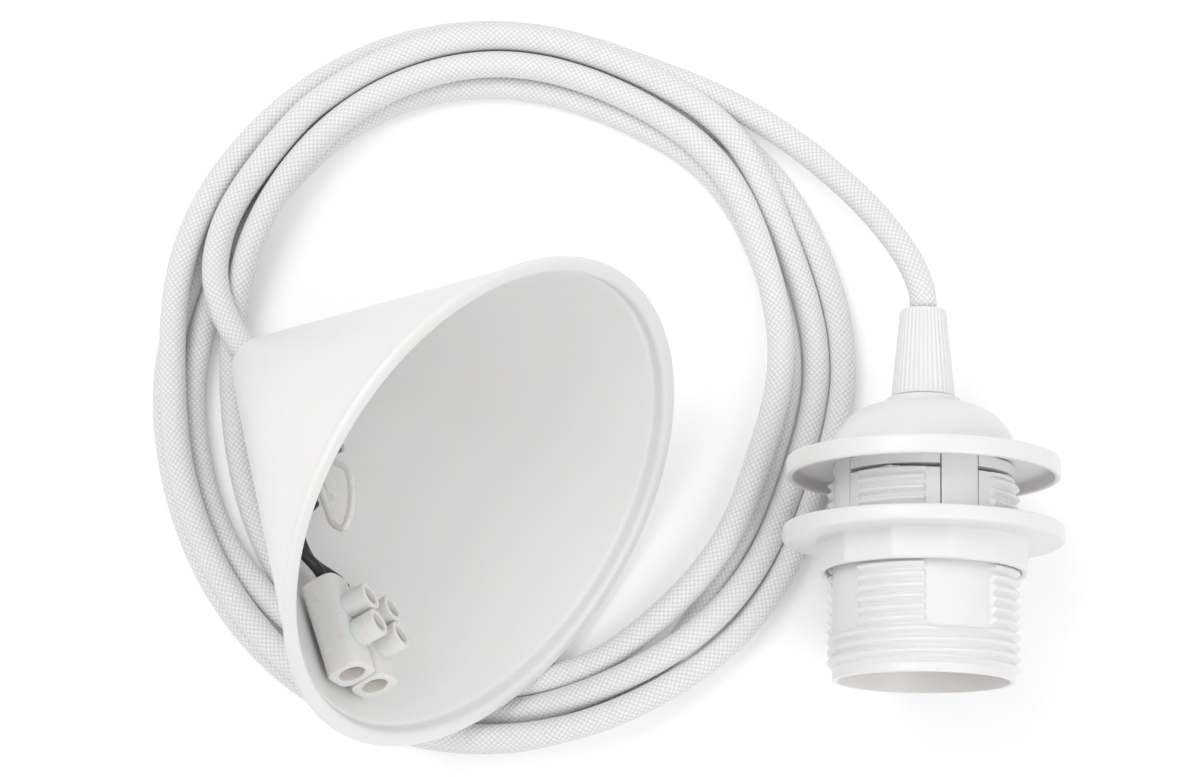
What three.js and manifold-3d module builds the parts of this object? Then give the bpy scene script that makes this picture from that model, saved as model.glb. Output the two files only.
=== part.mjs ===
// Pendant cord set for a hanging lamp: a lamp holder with its shade ring, a looped textile
// cord, and the conical cup that hides the cord's connection at the ceiling.
// Millimetres, +Z up. The set lies on a table; the origin is under the middle of its rigid pieces.
import * as THREE from 'three';
import { mergeVertices } from 'three/addons/utils/BufferGeometryUtils.js';
import Module from 'manifold-3d';

const wasm = await Module();
wasm.setup();

// Shared by several pieces
const GAP = 0.3;                 // between pieces that touch
const WELD = 1e-4;               // points closer than this are one point
const ROUND = 40;                // facets round a large turned piece
const INNER_ROUND = 28;          // facets round a turned piece inside the holder
const SMALL_ROUND = 14;          // facets round a small turned piece
const METAL = 0.5;               // sheet of the contacts
const SCREW_SLOT = 0.6;          // width and depth of a screw's slot

// Cord
const CORD_RADIUS = 2.8;
const CORD_SIDES = 8;
const CORD_STEP = 15;            // along the plain tube
const WIRE_RADIUS = 1.15;        // one insulated conductor
const WIRE_SIDES = 6;
const WIRE_STEP = 4;
const WIRE_STRAIGHT = 3;         // a conductor's end before it bends

// Lamp holder, along its axis from the top of the cord grip to the mouth
const HOLDER_TOP = new THREE.Vector3(58, 43.33, 26.24);
const HOLDER_TILT = 87.1;        // its two widest discs both lie on the table
const HOLDER_TURN = -1.2;
const GRIP_LENGTH = 18.4;
const GRIP_TOP_RADIUS = 4.75;
const GRIP_FOOT_RADIUS = 6.55;
const GRIP_RIBS = 36;
const GRIP_RIB_DEPTH = 0.3;
const GRIP_EDGE = 0.5;
const SPIGOT_LENGTH = 9.4;       // the cap's hollow stem, inside the grip
const SPIGOT_WALL = 1.2;
const NECK_RADIUS = 7.7;
const NECK_HEIGHT = 1.8;
const DOME_HEIGHT = 11.2;
const DOME_SHOULDER = 0.7;       // the dome's foot stands out from the skirt by this much
const DOME_STEPS = 6;
const CAP_WALL = 1.4;
const FLANGE_RADIUS = 27.9;
const FLANGE_HEIGHT = 3.9;
const FLANGE_EDGE = 0.8;
const LEGS = 4;
const LEG_ANGLE = 24.6;
const LEG_TURN = 22;             // first leg, from the upper side towards +X
const LEG_END = 53;

const SKIRT_END = 76.9;
const SKIRT_RADIUS = 18.4;
const SKIRT_WALL = 1.1;
const SKIRT_LIP = 1.7;           // plain band at the mouth
const THREAD_HEIGHT = 1.05;
const THREAD_PITCH = 2.5;
const THREAD_COLUMNS = 32;
const THREAD_FORM = [[0, 0], [0.35, 1], [0.7, 0]];   // share of the pitch, of the height
const THREAD_START = 36;
const PANEL_END = 68.1;          // the smooth panels stop here, the thread goes on
const PANEL_ANGLE = 45;
const PANEL_TURN = 22.5;
const PANEL_SINK = 0.15;         // below the root of the thread
const SLIT_ANGLE = 31;
const SLIT_HEIGHT = 0.9;
const LEDGE_AT = 50;             // carries the contact block
const LEDGE_WIDTH = 1.9;
const LEDGE_HEIGHT = 1.2;

const RING_AT = 45.3;            // where it is screwed to, free to go up and down the thread
const RING_RADIUS = 28.56;
const RING_DISC = 3.3;
const RING_EDGE = 0.7;
const COLLAR_HEIGHT = 6.3;
const COLLAR_RADIUS = 21.7;
const COLLAR_SIDES = 12;
const COLLAR_TURN = 8;

const BLOCK_HEIGHT = 8.7;        // the block that carries the lamp's contacts
const BLOCK_HUB_RADIUS = 7;
const BLOCK_HUB_HEIGHT = 2.6;
const LAMP_THREAD_GAP = 1.3;     // inside the ledge, which leaves 14.1 for a 27 mm lamp cap
const LAMP_THREAD_DEPTH = 0.8;
const LAMP_THREAD_PITCH = 3.6;
const LAMP_THREAD_TURNS = 5;
const SPRING_LENGTH = 14;
const SPRING_RISE = 4.4;
const SPRING_WIDTH = 5;
const HOLDER_SCREW_AT = 11.5;
const SCREW_RADIUS = 2.3;
const SCREW_LENGTH = 4;
const SCREW_HEAD = 1.8;
const SHEATH_END = 24;           // where the cord's textile sheath stops inside the dome

// Ceiling cup, a cone measured along its axis from the cone's apex
const CUP_APEX = new THREE.Vector3(-87.78, 39.29, 8.14);
const CUP_TILT = 30.06;          // axis above the table
const CUP_TURN = -34.5;
const CUP_HALF_ANGLE = 33.35;
const CUP_RADIUS = 53.1;
const CUP_WALL = 2;
const CUP_END = 8;               // the cone is cut off here
const CUP_HOLE_RADIUS = 4.75;
const CUP_ROUND = 60;            // facets
const RIM_WIDTH = 3.4;
const RIM_DEPTH = 3;
const RIM_STEP = 0.7;
const RIM_EDGE = 0.7;

// Cord clamp with its hanging loop, on the cup's wall along the cord
const CLAMP_TURN = -85;
const CLAMP_AT = 26;             // along the wall from the inner cone's apex
const CLAMP_LENGTH = 13.5;
const CLAMP_WIDTH = 15.2;
const CLAMP_FLOOR = 1.75;
const CLAMP_FOOT = 2.4;          // its long lower edges are cut back by this much
const CLAMP_SEAT = 1.25;         // lifts its flat foot clear of the round wall
const BAR_LENGTH = 6;
const BAR_HEIGHT = 2.2;
const CLAMP_SCREW_RADIUS = 1.3;
const CLAMP_SCREW_HEAD = 2.1;
const CLAMP_SCREW_LENGTH = 5;
const LOOP_INNER = 3.3;
const LOOP_WALL = 1.6;
const LOOP_THICKNESS = 2;
const LOOP_RISE = 3.6;

// Terminal block with two poles, on the cup's wall nearer the rim
const TERMINAL_TURN = -85;
const TERMINAL_AT = 63.4;
const TERMINAL_LENGTH = 21;
const TERMINAL_PITCH = 8.6;
const TERMINAL_SEAT = 1.2;
const TERMINAL_BARREL = 4;       // outer radius round one sleeve
const TERMINAL_TOWER = 2.9;
const TERMINAL_HEIGHT = 13;
const TERMINAL_SPACING = 6.2;    // between the two screws of one pole
const SLEEVE_RADIUS = 2.3;
const SLEEVE_WALL = 0.8;
const SLEEVE_LENGTH = 16;
const TERMINAL_SCREW_RADIUS = 1.5;
const TERMINAL_SCREW_LENGTH = 6.4;

// The two conductors on the cup's wall, from the clamp to the terminal block
const CROSSING_TURN = -92;       // round the cup's axis, behind the clamp and the block
const CROSSING_AT = 52;          // along the wall
const CROSSING_HEIGHT = 3.4;
const CROSSING_SPREAD = 2.4;     // of each conductor from their middle line
const CLAMP_WIRE_TURN = 3;       // they have turned this far where they leave the clamp
const CLAMP_WIRE_DROP = 1;

// The loose coil, about its own centre
const COIL_CENTRE = new THREE.Vector3(-29.78, 32.69, 0);
const COIL_RADIUS = 74.3;        // of the outermost strand
const COIL_OVAL = 2;
const COIL_EGG = 1;
const COIL_BAND = 17.4;          // from the outermost strand to the innermost
const COIL_LAYERS = 2;
const COIL_FACETS = 48;

// Points on the cord where it isn't coiled
const LEAD = [
  [57.5, 19.37, 27.45], [57.75, 31.35, 26.85], [58, 43.33, 26.24], [58, 46.8, 26.02],
  [56.8, 51.2, 25.2], [54.7, 56, 23.7], [51.6, 61.4, 21.2], [47.4, 67.6, 17.6],
  [42, 74.2, 13.6], [35.2, 81.2, 9.8], [26.6, 88.2, 6.6], [16.6, 94.6, 4.2], [-1.1, 102.1, 3],
];
const TAIL = [
  [-86.1, 70.7, 8.6], [-89.6, 60.9, 9.5], [-89.9, 52.6, 10.3], [-87.4, 44.6, 11.1],
  [-81.2, 34.9, 12.5], [-76.7, 27.7, 16.9], [-72.4, 18.3, 21.5], [-69.7, 11.1, 24.7],
  [-67.5, 4.8, 27.4],
];

// Sizes that follow from those above
const neckTop = GRIP_LENGTH + GAP;
const flangeTop = GRIP_LENGTH + NECK_HEIGHT + DOME_HEIGHT;
const flangeRim = flangeTop + FLANGE_HEIGHT;
const boreRadius = CORD_RADIUS + GAP;
const spigotRadius = boreRadius + SPIGOT_WALL;
const skirtStart = flangeTop + CAP_WALL + GAP;
const skirtBore = SKIRT_RADIUS - SKIRT_WALL;
const threadRadius = SKIRT_RADIUS + THREAD_HEIGHT;
const domeRadius = SKIRT_RADIUS + DOME_SHOULDER;
const ledgeBore = skirtBore - LEDGE_WIDTH;
const lampThreadRadius = ledgeBore - LAMP_THREAD_GAP;
const blockRadius = skirtBore - GAP;
const blockEnd = LEDGE_AT - GAP;
const blockBack = blockEnd - BLOCK_HEIGHT;
const coneSlope = Math.tan(rad(CUP_HALF_ANGLE));
const cupHeight = CUP_RADIUS / coneSlope;
const innerApex = CUP_WALL / Math.sin(rad(CUP_HALF_ANGLE));
const clampCord = CLAMP_SEAT + CLAMP_FLOOR + boreRadius;
const sleeveCentre = TERMINAL_SEAT + TERMINAL_BARREL;
const towerTop = TERMINAL_SEAT + TERMINAL_HEIGHT;
const screwHole = TERMINAL_SCREW_RADIUS + GAP;

const finish = (name, color, roughness, metalness = 0) => (
  new THREE.MeshStandardMaterial({ name, color, roughness, metalness })
);
const white = finish('white plastic', 0xf1f1ee, 0.42);
const clear = finish('natural plastic', 0xe9e7df, 0.3);
const ceramic = finish('ceramic', 0xe4e1d8, 0.55);
const brass = finish('brass', 0xc9a55a, 0.32, 1);
const steel = finish('steel', 0xb9bbbd, 0.34, 1);
const black = finish('black insulation', 0x17181a, 0.5);
const textile = finish('white textile', 0xf0efec, 0.9);

function rad(degrees) {
  return THREE.MathUtils.degToRad(degrees);
}

// A closed geometry as a solid that can be joined and cut
function solid(geometry) {
  const bare = geometry.clone();
  bare.deleteAttribute('normal');
  bare.deleteAttribute('uv');
  const welded = mergeVertices(bare, WELD);
  const corners = welded.index.array;
  const kept = [];
  for (let i = 0; i < corners.length; i += 3) {
    const [a, b, c] = corners.slice(i, i + 3);
    if (a !== b && b !== c && c !== a) kept.push(a, b, c);
  }
  const vertProperties = new Float32Array(welded.attributes.position.array);
  const triVerts = new Uint32Array(kept);
  return new wasm.Manifold(new wasm.Mesh({ numProp: 3, vertProperties, triVerts }));
}

function geometryOf(body) {
  const mesh = body.getMesh();
  const geometry = new THREE.BufferGeometry();
  geometry.setAttribute('position', new THREE.BufferAttribute(new Float32Array(mesh.vertProperties), 3));
  geometry.setIndex(new THREE.BufferAttribute(new Uint32Array(mesh.triVerts), 1));
  geometry.computeVertexNormals();
  return geometry;
}

function piece(name, material, body, parent) {
  const mesh = new THREE.Mesh(geometryOf(body), material);
  mesh.name = name;
  parent.add(mesh);
}

// A closed [radius, height] outline, anticlockwise, turned round +Z
function turned(outline, facets = ROUND) {
  const points = [...outline, outline[0]].map(([radius, height]) => new THREE.Vector2(radius, height));
  return solid(new THREE.LatheGeometry(points, facets).rotateX(Math.PI / 2));
}

// An outline from the axis back to the axis, turned round +Z
function turnedFull(outline, facets = SMALL_ROUND) {
  const points = outline.map(([radius, height]) => new THREE.Vector2(radius, height));
  return solid(new THREE.LatheGeometry(points, facets).rotateX(Math.PI / 2));
}

function cylinder(radius, from, to, facets = SMALL_ROUND) {
  return turnedFull([[0, from], [radius, from], [radius, to], [0, to]], facets);
}

function box(width, depth, height, x = 0, y = 0, z = 0) {
  return solid(new THREE.BoxGeometry(width, depth, height).translate(x, y, z));
}

// Part of a ring between two radii; its middle is turned from +Y towards +X
function ringSector(inner, outer, turn, angle, from, to) {
  const first = rad(90 - turn - angle / 2);
  const last = rad(90 - turn + angle / 2);
  const shape = new THREE.Shape();
  shape.absarc(0, 0, outer, first, last, false);
  shape.absarc(0, 0, inner, last, first, true);
  const settings = { depth: to - from, bevelEnabled: false, curveSegments: 8 };
  return solid(new THREE.ExtrudeGeometry(shape, settings).translate(0, 0, from));
}

function regularShape(radius, sides) {
  const points = [];
  for (let i = 0; i < sides; i += 1) {
    const angle = (2 * Math.PI * i) / sides;
    points.push(new THREE.Vector2(radius * Math.cos(angle), radius * Math.sin(angle)));
  }
  return new THREE.Shape(points);
}

// A round tube along points
function tube(points, radius, sides, step) {
  const path = new THREE.CatmullRomCurve3(points, false, 'centripetal');
  const steps = Math.ceil(path.getLength() / step);
  const settings = { steps, bevelEnabled: false, extrudePath: path };
  return solid(new THREE.ExtrudeGeometry(regularShape(radius, sides), settings));
}

function vectors(points) {
  return points.map((point) => new THREE.Vector3(...point));
}

function around(count, place) {
  return Array.from({ length: count }, (_, i) => place((360 / count) * i));
}

function joined(first, ...others) {
  return others.reduce((body, other) => body.add(other), first);
}

function cut(first, ...others) {
  return others.reduce((body, other) => body.subtract(other), first);
}

// The ribbed nut that grips the cord
function cordGrip() {
  const points = [];
  for (let i = 0; i < 2 * GRIP_RIBS; i += 1) {
    const angle = (Math.PI * i) / GRIP_RIBS;
    const radius = GRIP_TOP_RADIUS - GRIP_EDGE - (i % 2) * GRIP_RIB_DEPTH;
    points.push(new THREE.Vector2(radius * Math.cos(angle), radius * Math.sin(angle)));
  }
  const settings = {
    depth: GRIP_LENGTH - 2 * GRIP_EDGE,
    bevelThickness: GRIP_EDGE,
    bevelSize: GRIP_EDGE,
    bevelSegments: 2,
  };
  const body = new THREE.ExtrudeGeometry(new THREE.Shape(points), settings).translate(0, 0, GRIP_EDGE);
  const position = body.attributes.position;
  for (let i = 0; i < position.count; i += 1) {
    const height = position.getZ(i) / GRIP_LENGTH;
    const scale = THREE.MathUtils.lerp(1, GRIP_FOOT_RADIUS / GRIP_TOP_RADIUS, height);
    position.setXY(i, position.getX(i) * scale, position.getY(i) * scale);
  }
  const pocket = cylinder(spigotRadius + GAP, neckTop - SPIGOT_LENGTH - 2 * GAP, GRIP_LENGTH + GAP);
  return cut(solid(body), cylinder(boreRadius, -GAP, GRIP_LENGTH), pocket);
}

// One quarter of the dome's outline, thinner by inset
function domeArc(inset) {
  const arc = [];
  for (let i = 0; i <= DOME_STEPS; i += 1) {
    const angle = (Math.PI / 2) * (i / DOME_STEPS);
    const radius = NECK_RADIUS - inset + (domeRadius - NECK_RADIUS) * Math.sin(angle);
    arc.push([radius, flangeTop + inset - DOME_HEIGHT * Math.cos(angle)]);
  }
  return arc;
}

// The cap: hollow stem, dome, flange with a turned-down rim, and legs that lock the skirt
function holderCap() {
  const body = turned([
    [boreRadius, neckTop - SPIGOT_LENGTH],
    [spigotRadius, neckTop - SPIGOT_LENGTH],
    [spigotRadius, neckTop],
    [NECK_RADIUS, neckTop],
    ...domeArc(0),
    [FLANGE_RADIUS - FLANGE_EDGE, flangeTop],
    [FLANGE_RADIUS, flangeTop + FLANGE_EDGE],
    [FLANGE_RADIUS, flangeRim],
    [FLANGE_RADIUS - CAP_WALL, flangeRim],
    [FLANGE_RADIUS - CAP_WALL, flangeTop + CAP_WALL],
    ...domeArc(CAP_WALL).reverse(),
    [boreRadius, flangeTop + CAP_WALL - DOME_HEIGHT],
  ]);
  const legs = around(LEGS, (turn) => ringSector(
    skirtBore, SKIRT_RADIUS, LEG_TURN + turn, LEG_ANGLE, flangeTop + CAP_WALL / 2, LEG_END,
  ));
  return joined(body, ...legs);
}

// A tube with one right-handed thread outside. Each row of points climbs by a pitch in one
// turn, so that it ends where the row one pitch higher begins.
function threadedTube() {
  const rows = [];
  const pitches = Math.ceil((SKIRT_END - SKIRT_LIP - THREAD_START) / THREAD_PITCH) + 1;
  for (let pitch = -1; pitch < pitches; pitch += 1) {
    for (const [share, rise] of THREAD_FORM) {
      const height = THREAD_START + (pitch + share) * THREAD_PITCH;
      rows.push(new THREE.Vector2(SKIRT_RADIUS + rise * THREAD_HEIGHT, height));
    }
  }
  const profile = [
    new THREE.Vector2(skirtBore, skirtStart),
    new THREE.Vector2(SKIRT_RADIUS, skirtStart),
    ...rows,
    new THREE.Vector2(SKIRT_RADIUS, SKIRT_END),
    new THREE.Vector2(skirtBore, SKIRT_END),
    new THREE.Vector2(skirtBore, skirtStart),
  ];
  const body = new THREE.LatheGeometry(profile, THREAD_COLUMNS).rotateX(Math.PI / 2);
  const position = body.attributes.position;
  for (let i = 0; i < position.count; i += 1) {
    const column = Math.floor(i / profile.length);
    const row = i % profile.length;
    if (row < 2 || row >= rows.length + 2) continue;
    const height = profile[row].y + (THREAD_PITCH * column) / THREAD_COLUMNS;
    const threaded = height > THREAD_START && height < SKIRT_END - SKIRT_LIP;
    const radius = threaded ? profile[row].x : SKIRT_RADIUS;
    const angle = (2 * Math.PI * (column % THREAD_COLUMNS)) / THREAD_COLUMNS;
    const limited = THREE.MathUtils.clamp(height, THREAD_START, SKIRT_END - SKIRT_LIP);
    position.setXYZ(i, radius * Math.sin(angle), -radius * Math.cos(angle), limited);
  }
  return solid(body);
}

// The skirt: the thread is broken by four smooth panels, each with a slot for a leg of the cap
function holderSkirt() {
  const ledge = turned([
    [ledgeBore, LEDGE_AT],
    [skirtBore + SKIRT_WALL / 2, LEDGE_AT],
    [skirtBore + SKIRT_WALL / 2, LEDGE_AT + LEDGE_HEIGHT],
    [ledgeBore, LEDGE_AT + LEDGE_HEIGHT],
  ]);
  const panels = around(LEGS, (turn) => ringSector(
    SKIRT_RADIUS - PANEL_SINK, threadRadius + GAP,
    PANEL_TURN + turn, PANEL_ANGLE, THREAD_START - GAP, PANEL_END,
  ));
  const slotAngle = LEG_ANGLE + 2 * THREE.MathUtils.radToDeg(GAP / SKIRT_RADIUS);
  const slots = around(LEGS, (turn) => ringSector(
    skirtBore - GAP, SKIRT_RADIUS + GAP, LEG_TURN + turn, slotAngle, skirtStart - GAP, LEG_END + GAP,
  ));
  const slits = around(LEGS, (turn) => ringSector(
    skirtBore - GAP, threadRadius + GAP, PANEL_TURN + turn + PANEL_ANGLE, SLIT_ANGLE,
    flangeRim + GAP, flangeRim + GAP + SLIT_HEIGHT,
  ));
  return cut(joined(threadedTube(), ledge), ...panels, ...slots, ...slits);
}

// The ring that clamps a shade: a flat disc and a twelve-sided collar to turn it by
function shadeRing() {
  const bore = threadRadius + GAP;
  const disc = turned([
    [bore, RING_AT],
    [RING_RADIUS - RING_EDGE, RING_AT],
    [RING_RADIUS, RING_AT + RING_EDGE],
    [RING_RADIUS, RING_AT + RING_DISC - RING_EDGE],
    [RING_RADIUS - RING_EDGE, RING_AT + RING_DISC],
    [bore, RING_AT + RING_DISC],
  ]);
  const outline = regularShape(COLLAR_RADIUS, COLLAR_SIDES);
  const settings = { depth: COLLAR_HEIGHT + RING_DISC / 2, bevelEnabled: false };
  const collar = new THREE.ExtrudeGeometry(outline, settings)
    .rotateZ(rad(90 - COLLAR_TURN))
    .translate(0, 0, RING_AT + RING_DISC / 2);
  const opening = cylinder(bore, RING_AT - GAP, RING_AT + RING_DISC + COLLAR_HEIGHT + GAP, ROUND);
  return cut(joined(disc, solid(collar)), opening);
}

// The insulating block with a hub for the terminals and a hole for each screw
function contactBlock() {
  const body = turnedFull([
    [0, blockBack - BLOCK_HUB_HEIGHT],
    [BLOCK_HUB_RADIUS, blockBack - BLOCK_HUB_HEIGHT],
    [BLOCK_HUB_RADIUS, blockBack],
    [blockRadius - GAP, blockBack],
    [blockRadius, blockBack + GAP],
    [blockRadius, blockEnd],
    [0, blockEnd],
  ], INNER_ROUND);
  return cut(body, ...holderScrewSides().map((x) => (
    cylinder(SCREW_RADIUS / 2 + GAP, blockBack - GAP, blockBack + SCREW_LENGTH).translate(x, 0, 0)
  )));
}

function holderScrewSides() {
  return [-HOLDER_SCREW_AT, HOLDER_SCREW_AT];
}

// The rolled metal shell that the lamp screws into
function lampThread() {
  const outer = [];
  for (let turn = 0; turn < LAMP_THREAD_TURNS; turn += 1) {
    const start = LEDGE_AT + turn * LAMP_THREAD_PITCH;
    outer.push([lampThreadRadius, start]);
    outer.push([lampThreadRadius - LAMP_THREAD_DEPTH, start + LAMP_THREAD_PITCH / 2]);
  }
  outer.push([lampThreadRadius, LEDGE_AT + LAMP_THREAD_TURNS * LAMP_THREAD_PITCH]);
  const inner = outer.map(([radius, height]) => [radius - METAL, height]).reverse();
  return turned([...outer, ...inner], INNER_ROUND);
}

// The spring that touches the foot of the lamp
function centreContact() {
  const half = SPRING_LENGTH / 2;
  const bend = SPRING_LENGTH / 6;
  const shape = new THREE.Shape();
  shape.moveTo(-half, 0);
  shape.lineTo(-bend, 0);
  shape.lineTo(bend, SPRING_RISE);
  shape.lineTo(2 * bend, SPRING_RISE);
  shape.lineTo(2 * bend, SPRING_RISE + METAL);
  shape.lineTo(bend - METAL, SPRING_RISE + METAL);
  shape.lineTo(-bend - METAL, METAL);
  shape.lineTo(-half, METAL);
  const settings = { depth: SPRING_WIDTH, bevelEnabled: false };
  const spring = new THREE.ExtrudeGeometry(shape, settings)
    .translate(0, 0, -SPRING_WIDTH / 2)
    .rotateX(Math.PI / 2)
    .translate(0, 0, LEDGE_AT);
  return solid(spring);
}

// A slotted cheese-head screw; its head faces +Z and its foot is at the given height
function slottedScrew(shank, length, head, headHeight) {
  const body = turnedFull([
    [0, 0],
    [shank, 0],
    [shank, length],
    [head, length],
    [head, length + headHeight],
    [0, length + headHeight],
  ]);
  return cut(body, box(2 * head + GAP, SCREW_SLOT, 2 * SCREW_SLOT, 0, 0, length + headHeight));
}

// The cup: a cone with a hole for the cord and a thick rounded rim with a step inside
function ceilingCup() {
  const top = cupHeight + GAP;
  const innerAt = (height) => (height - innerApex) * coneSlope;
  const step = top - RIM_DEPTH;
  return turned([
    [CUP_HOLE_RADIUS, CUP_END],
    [CUP_END * coneSlope - RIM_EDGE / 3, CUP_END],
    [(CUP_END + RIM_EDGE) * coneSlope, CUP_END + RIM_EDGE],
    [(cupHeight - RIM_DEPTH) * coneSlope, cupHeight - RIM_DEPTH],
    [CUP_RADIUS - RIM_EDGE, cupHeight - 2 * RIM_EDGE],
    [CUP_RADIUS, cupHeight - RIM_EDGE],
    [CUP_RADIUS - RIM_EDGE / 4, top - RIM_EDGE / 2],
    [CUP_RADIUS - RIM_EDGE, top],
    [CUP_RADIUS - RIM_WIDTH + RIM_EDGE, top],
    [CUP_RADIUS - RIM_WIDTH, top - RIM_EDGE],
    [innerAt(step) + RIM_STEP, step],
    [innerAt(step), step - RIM_STEP / 2],
    [CUP_HOLE_RADIUS, innerApex + CUP_HOLE_RADIUS / coneSlope],
  ], CUP_ROUND);
}

// A group on the cup's wall: +X along the wall to the rim, +Z away from the wall
function onWall(turn) {
  const group = new THREE.Group();
  group.position.z = innerApex;
  group.rotation.set(0, rad(CUP_HALF_ANGLE - 90), rad(turn), 'ZYX');
  return group;
}

// The clamp's body: a trough for the cord with a hanging loop standing at its far end
function clampBody() {
  const half = CLAMP_WIDTH / 2;
  const shape = new THREE.Shape();
  shape.moveTo(-half, CLAMP_SEAT + CLAMP_FLOOR);
  shape.lineTo(CLAMP_FOOT - half, CLAMP_SEAT);
  shape.lineTo(half - CLAMP_FOOT, CLAMP_SEAT);
  shape.lineTo(half, CLAMP_SEAT + CLAMP_FLOOR);
  shape.lineTo(half, clampCord + CORD_RADIUS);
  shape.lineTo(boreRadius, clampCord + CORD_RADIUS);
  shape.lineTo(boreRadius, clampCord);
  shape.absarc(0, clampCord, boreRadius, 0, -Math.PI, true);
  shape.lineTo(-boreRadius, clampCord + CORD_RADIUS);
  shape.lineTo(-half, clampCord + CORD_RADIUS);
  const settings = { depth: CLAMP_LENGTH, bevelEnabled: false, curveSegments: 8 };
  const trough = alongX(new THREE.ExtrudeGeometry(shape, settings), CLAMP_AT);

  const outer = LOOP_INNER + LOOP_WALL;
  const foot = clampCord + CORD_RADIUS / 2;
  const crown = clampCord + CORD_RADIUS + LOOP_RISE;
  const arch = new THREE.Shape();
  arch.moveTo(outer, foot);
  arch.absarc(0, crown, outer, 0, Math.PI, false);
  arch.lineTo(-outer, foot);
  arch.lineTo(-LOOP_INNER, foot);
  arch.absarc(0, crown, LOOP_INNER, Math.PI, 0, true);
  arch.lineTo(LOOP_INNER, foot);
  const loopSettings = { depth: LOOP_THICKNESS, bevelEnabled: false, curveSegments: 10 };
  const loopAt = CLAMP_AT + CLAMP_LENGTH - LOOP_THICKNESS;
  const loop = alongX(new THREE.ExtrudeGeometry(arch, loopSettings), loopAt);
  return cut(joined(solid(trough), solid(loop)), ...clampScrewPlaces().map(([x, y]) => (
    cylinder(CLAMP_SCREW_RADIUS + GAP, clampCord - CLAMP_SCREW_LENGTH / 2, crown).translate(x, y, 0)
  )));
}

// Turns an extrusion's outline from XY into YZ and its depth into +X
function alongX(geometry, from) {
  return geometry.rotateX(Math.PI / 2).rotateZ(Math.PI / 2).translate(from, 0, 0);
}

function clampScrewPlaces() {
  const side = (CLAMP_WIDTH / 2 + boreRadius) / 2;
  const along = CLAMP_AT + BAR_LENGTH / 2 + GAP;
  return [[along, -side], [along, side]];
}

function clampBar() {
  const bottom = clampCord + boreRadius;
  const [[along]] = clampScrewPlaces();
  const bar = box(BAR_LENGTH, CLAMP_WIDTH, BAR_HEIGHT, along, 0, bottom + BAR_HEIGHT / 2);
  return cut(bar, ...clampScrewPlaces().map(([x, y]) => (
    cylinder(CLAMP_SCREW_RADIUS + GAP, bottom - GAP, bottom + BAR_HEIGHT + GAP).translate(x, y, 0)
  )));
}

function poleSides() {
  return [-TERMINAL_PITCH / 2, TERMINAL_PITCH / 2];
}

function terminalScrewPlaces() {
  const middle = TERMINAL_AT + TERMINAL_LENGTH / 2;
  return poleSides().flatMap((y) => (
    [[middle - TERMINAL_SPACING / 2, y], [middle + TERMINAL_SPACING / 2, y]]
  ));
}

function barrel(radius, from, to, y) {
  return cylinder(radius, from, to).rotate([0, 90, 0]).translate(0, y, sleeveCentre);
}

// The moulded block: a barrel for each pole, a web between them and a tower for each screw
function terminalBlock() {
  const end = TERMINAL_AT + TERMINAL_LENGTH;
  const barrels = poleSides().map((y) => barrel(TERMINAL_BARREL, TERMINAL_AT, end, y));
  const width = TERMINAL_PITCH + 2 * TERMINAL_TOWER;
  const middle = (TERMINAL_AT + end) / 2;
  const web = box(TERMINAL_LENGTH / 2, width, TERMINAL_BARREL, middle, 0, sleeveCentre - TERMINAL_BARREL / 2);
  const towers = terminalScrewPlaces().map(([x, y]) => (
    cylinder(TERMINAL_TOWER, sleeveCentre, towerTop).translate(x, y, 0)
  ));
  const channels = poleSides().map((y) => barrel(SLEEVE_RADIUS + GAP, TERMINAL_AT - GAP, end + GAP, y));
  const shafts = terminalScrewPlaces().map(([x, y]) => (
    cylinder(screwHole, sleeveCentre, towerTop + GAP).translate(x, y, 0)
  ));
  return cut(joined(...barrels, web, ...towers), ...channels, ...shafts);
}

function sleeve(y) {
  const start = TERMINAL_AT + (TERMINAL_LENGTH - SLEEVE_LENGTH) / 2;
  const body = barrel(SLEEVE_RADIUS, start, start + SLEEVE_LENGTH, y);
  const bore = barrel(SLEEVE_RADIUS - SLEEVE_WALL, start - GAP, start + SLEEVE_LENGTH + GAP, y);
  const holes = terminalScrewPlaces().filter((place) => place[1] === y).map((place) => (
    cylinder(screwHole, sleeveCentre, sleeveCentre + 2 * SLEEVE_RADIUS).translate(...place, 0)
  ));
  return cut(body, bore, ...holes);
}

// A point beside the cup's wall, in the cup's own frame
function wallPoint(turn, along, side, height) {
  const group = onWall(turn);
  group.updateMatrix();
  return new THREE.Vector3(along, side, height).applyMatrix4(group.matrix);
}

// One conductor from the end of the cord's sheath round to its pole
function cupWire(sign) {
  const cordEnd = CLAMP_AT + CLAMP_LENGTH + LOOP_THICKNESS;
  const side = sign * (WIRE_RADIUS + GAP);
  const pole = (sign * TERMINAL_PITCH) / 2;
  const sleeveStart = TERMINAL_AT + (TERMINAL_LENGTH - SLEEVE_LENGTH) / 2;
  const path = [
    wallPoint(CLAMP_TURN, cordEnd, side, clampCord),
    wallPoint(CLAMP_TURN - CLAMP_WIRE_TURN, cordEnd + WIRE_STRAIGHT, side, clampCord - CLAMP_WIRE_DROP),
    wallPoint(CROSSING_TURN, CROSSING_AT, sign * CROSSING_SPREAD, CROSSING_HEIGHT),
    wallPoint(TERMINAL_TURN, TERMINAL_AT - WIRE_STRAIGHT, pole, sleeveCentre),
    wallPoint(TERMINAL_TURN, sleeveStart - GAP, pole, sleeveCentre),
  ];
  return tube(path, WIRE_RADIUS, WIRE_SIDES, WIRE_STEP);
}

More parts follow.
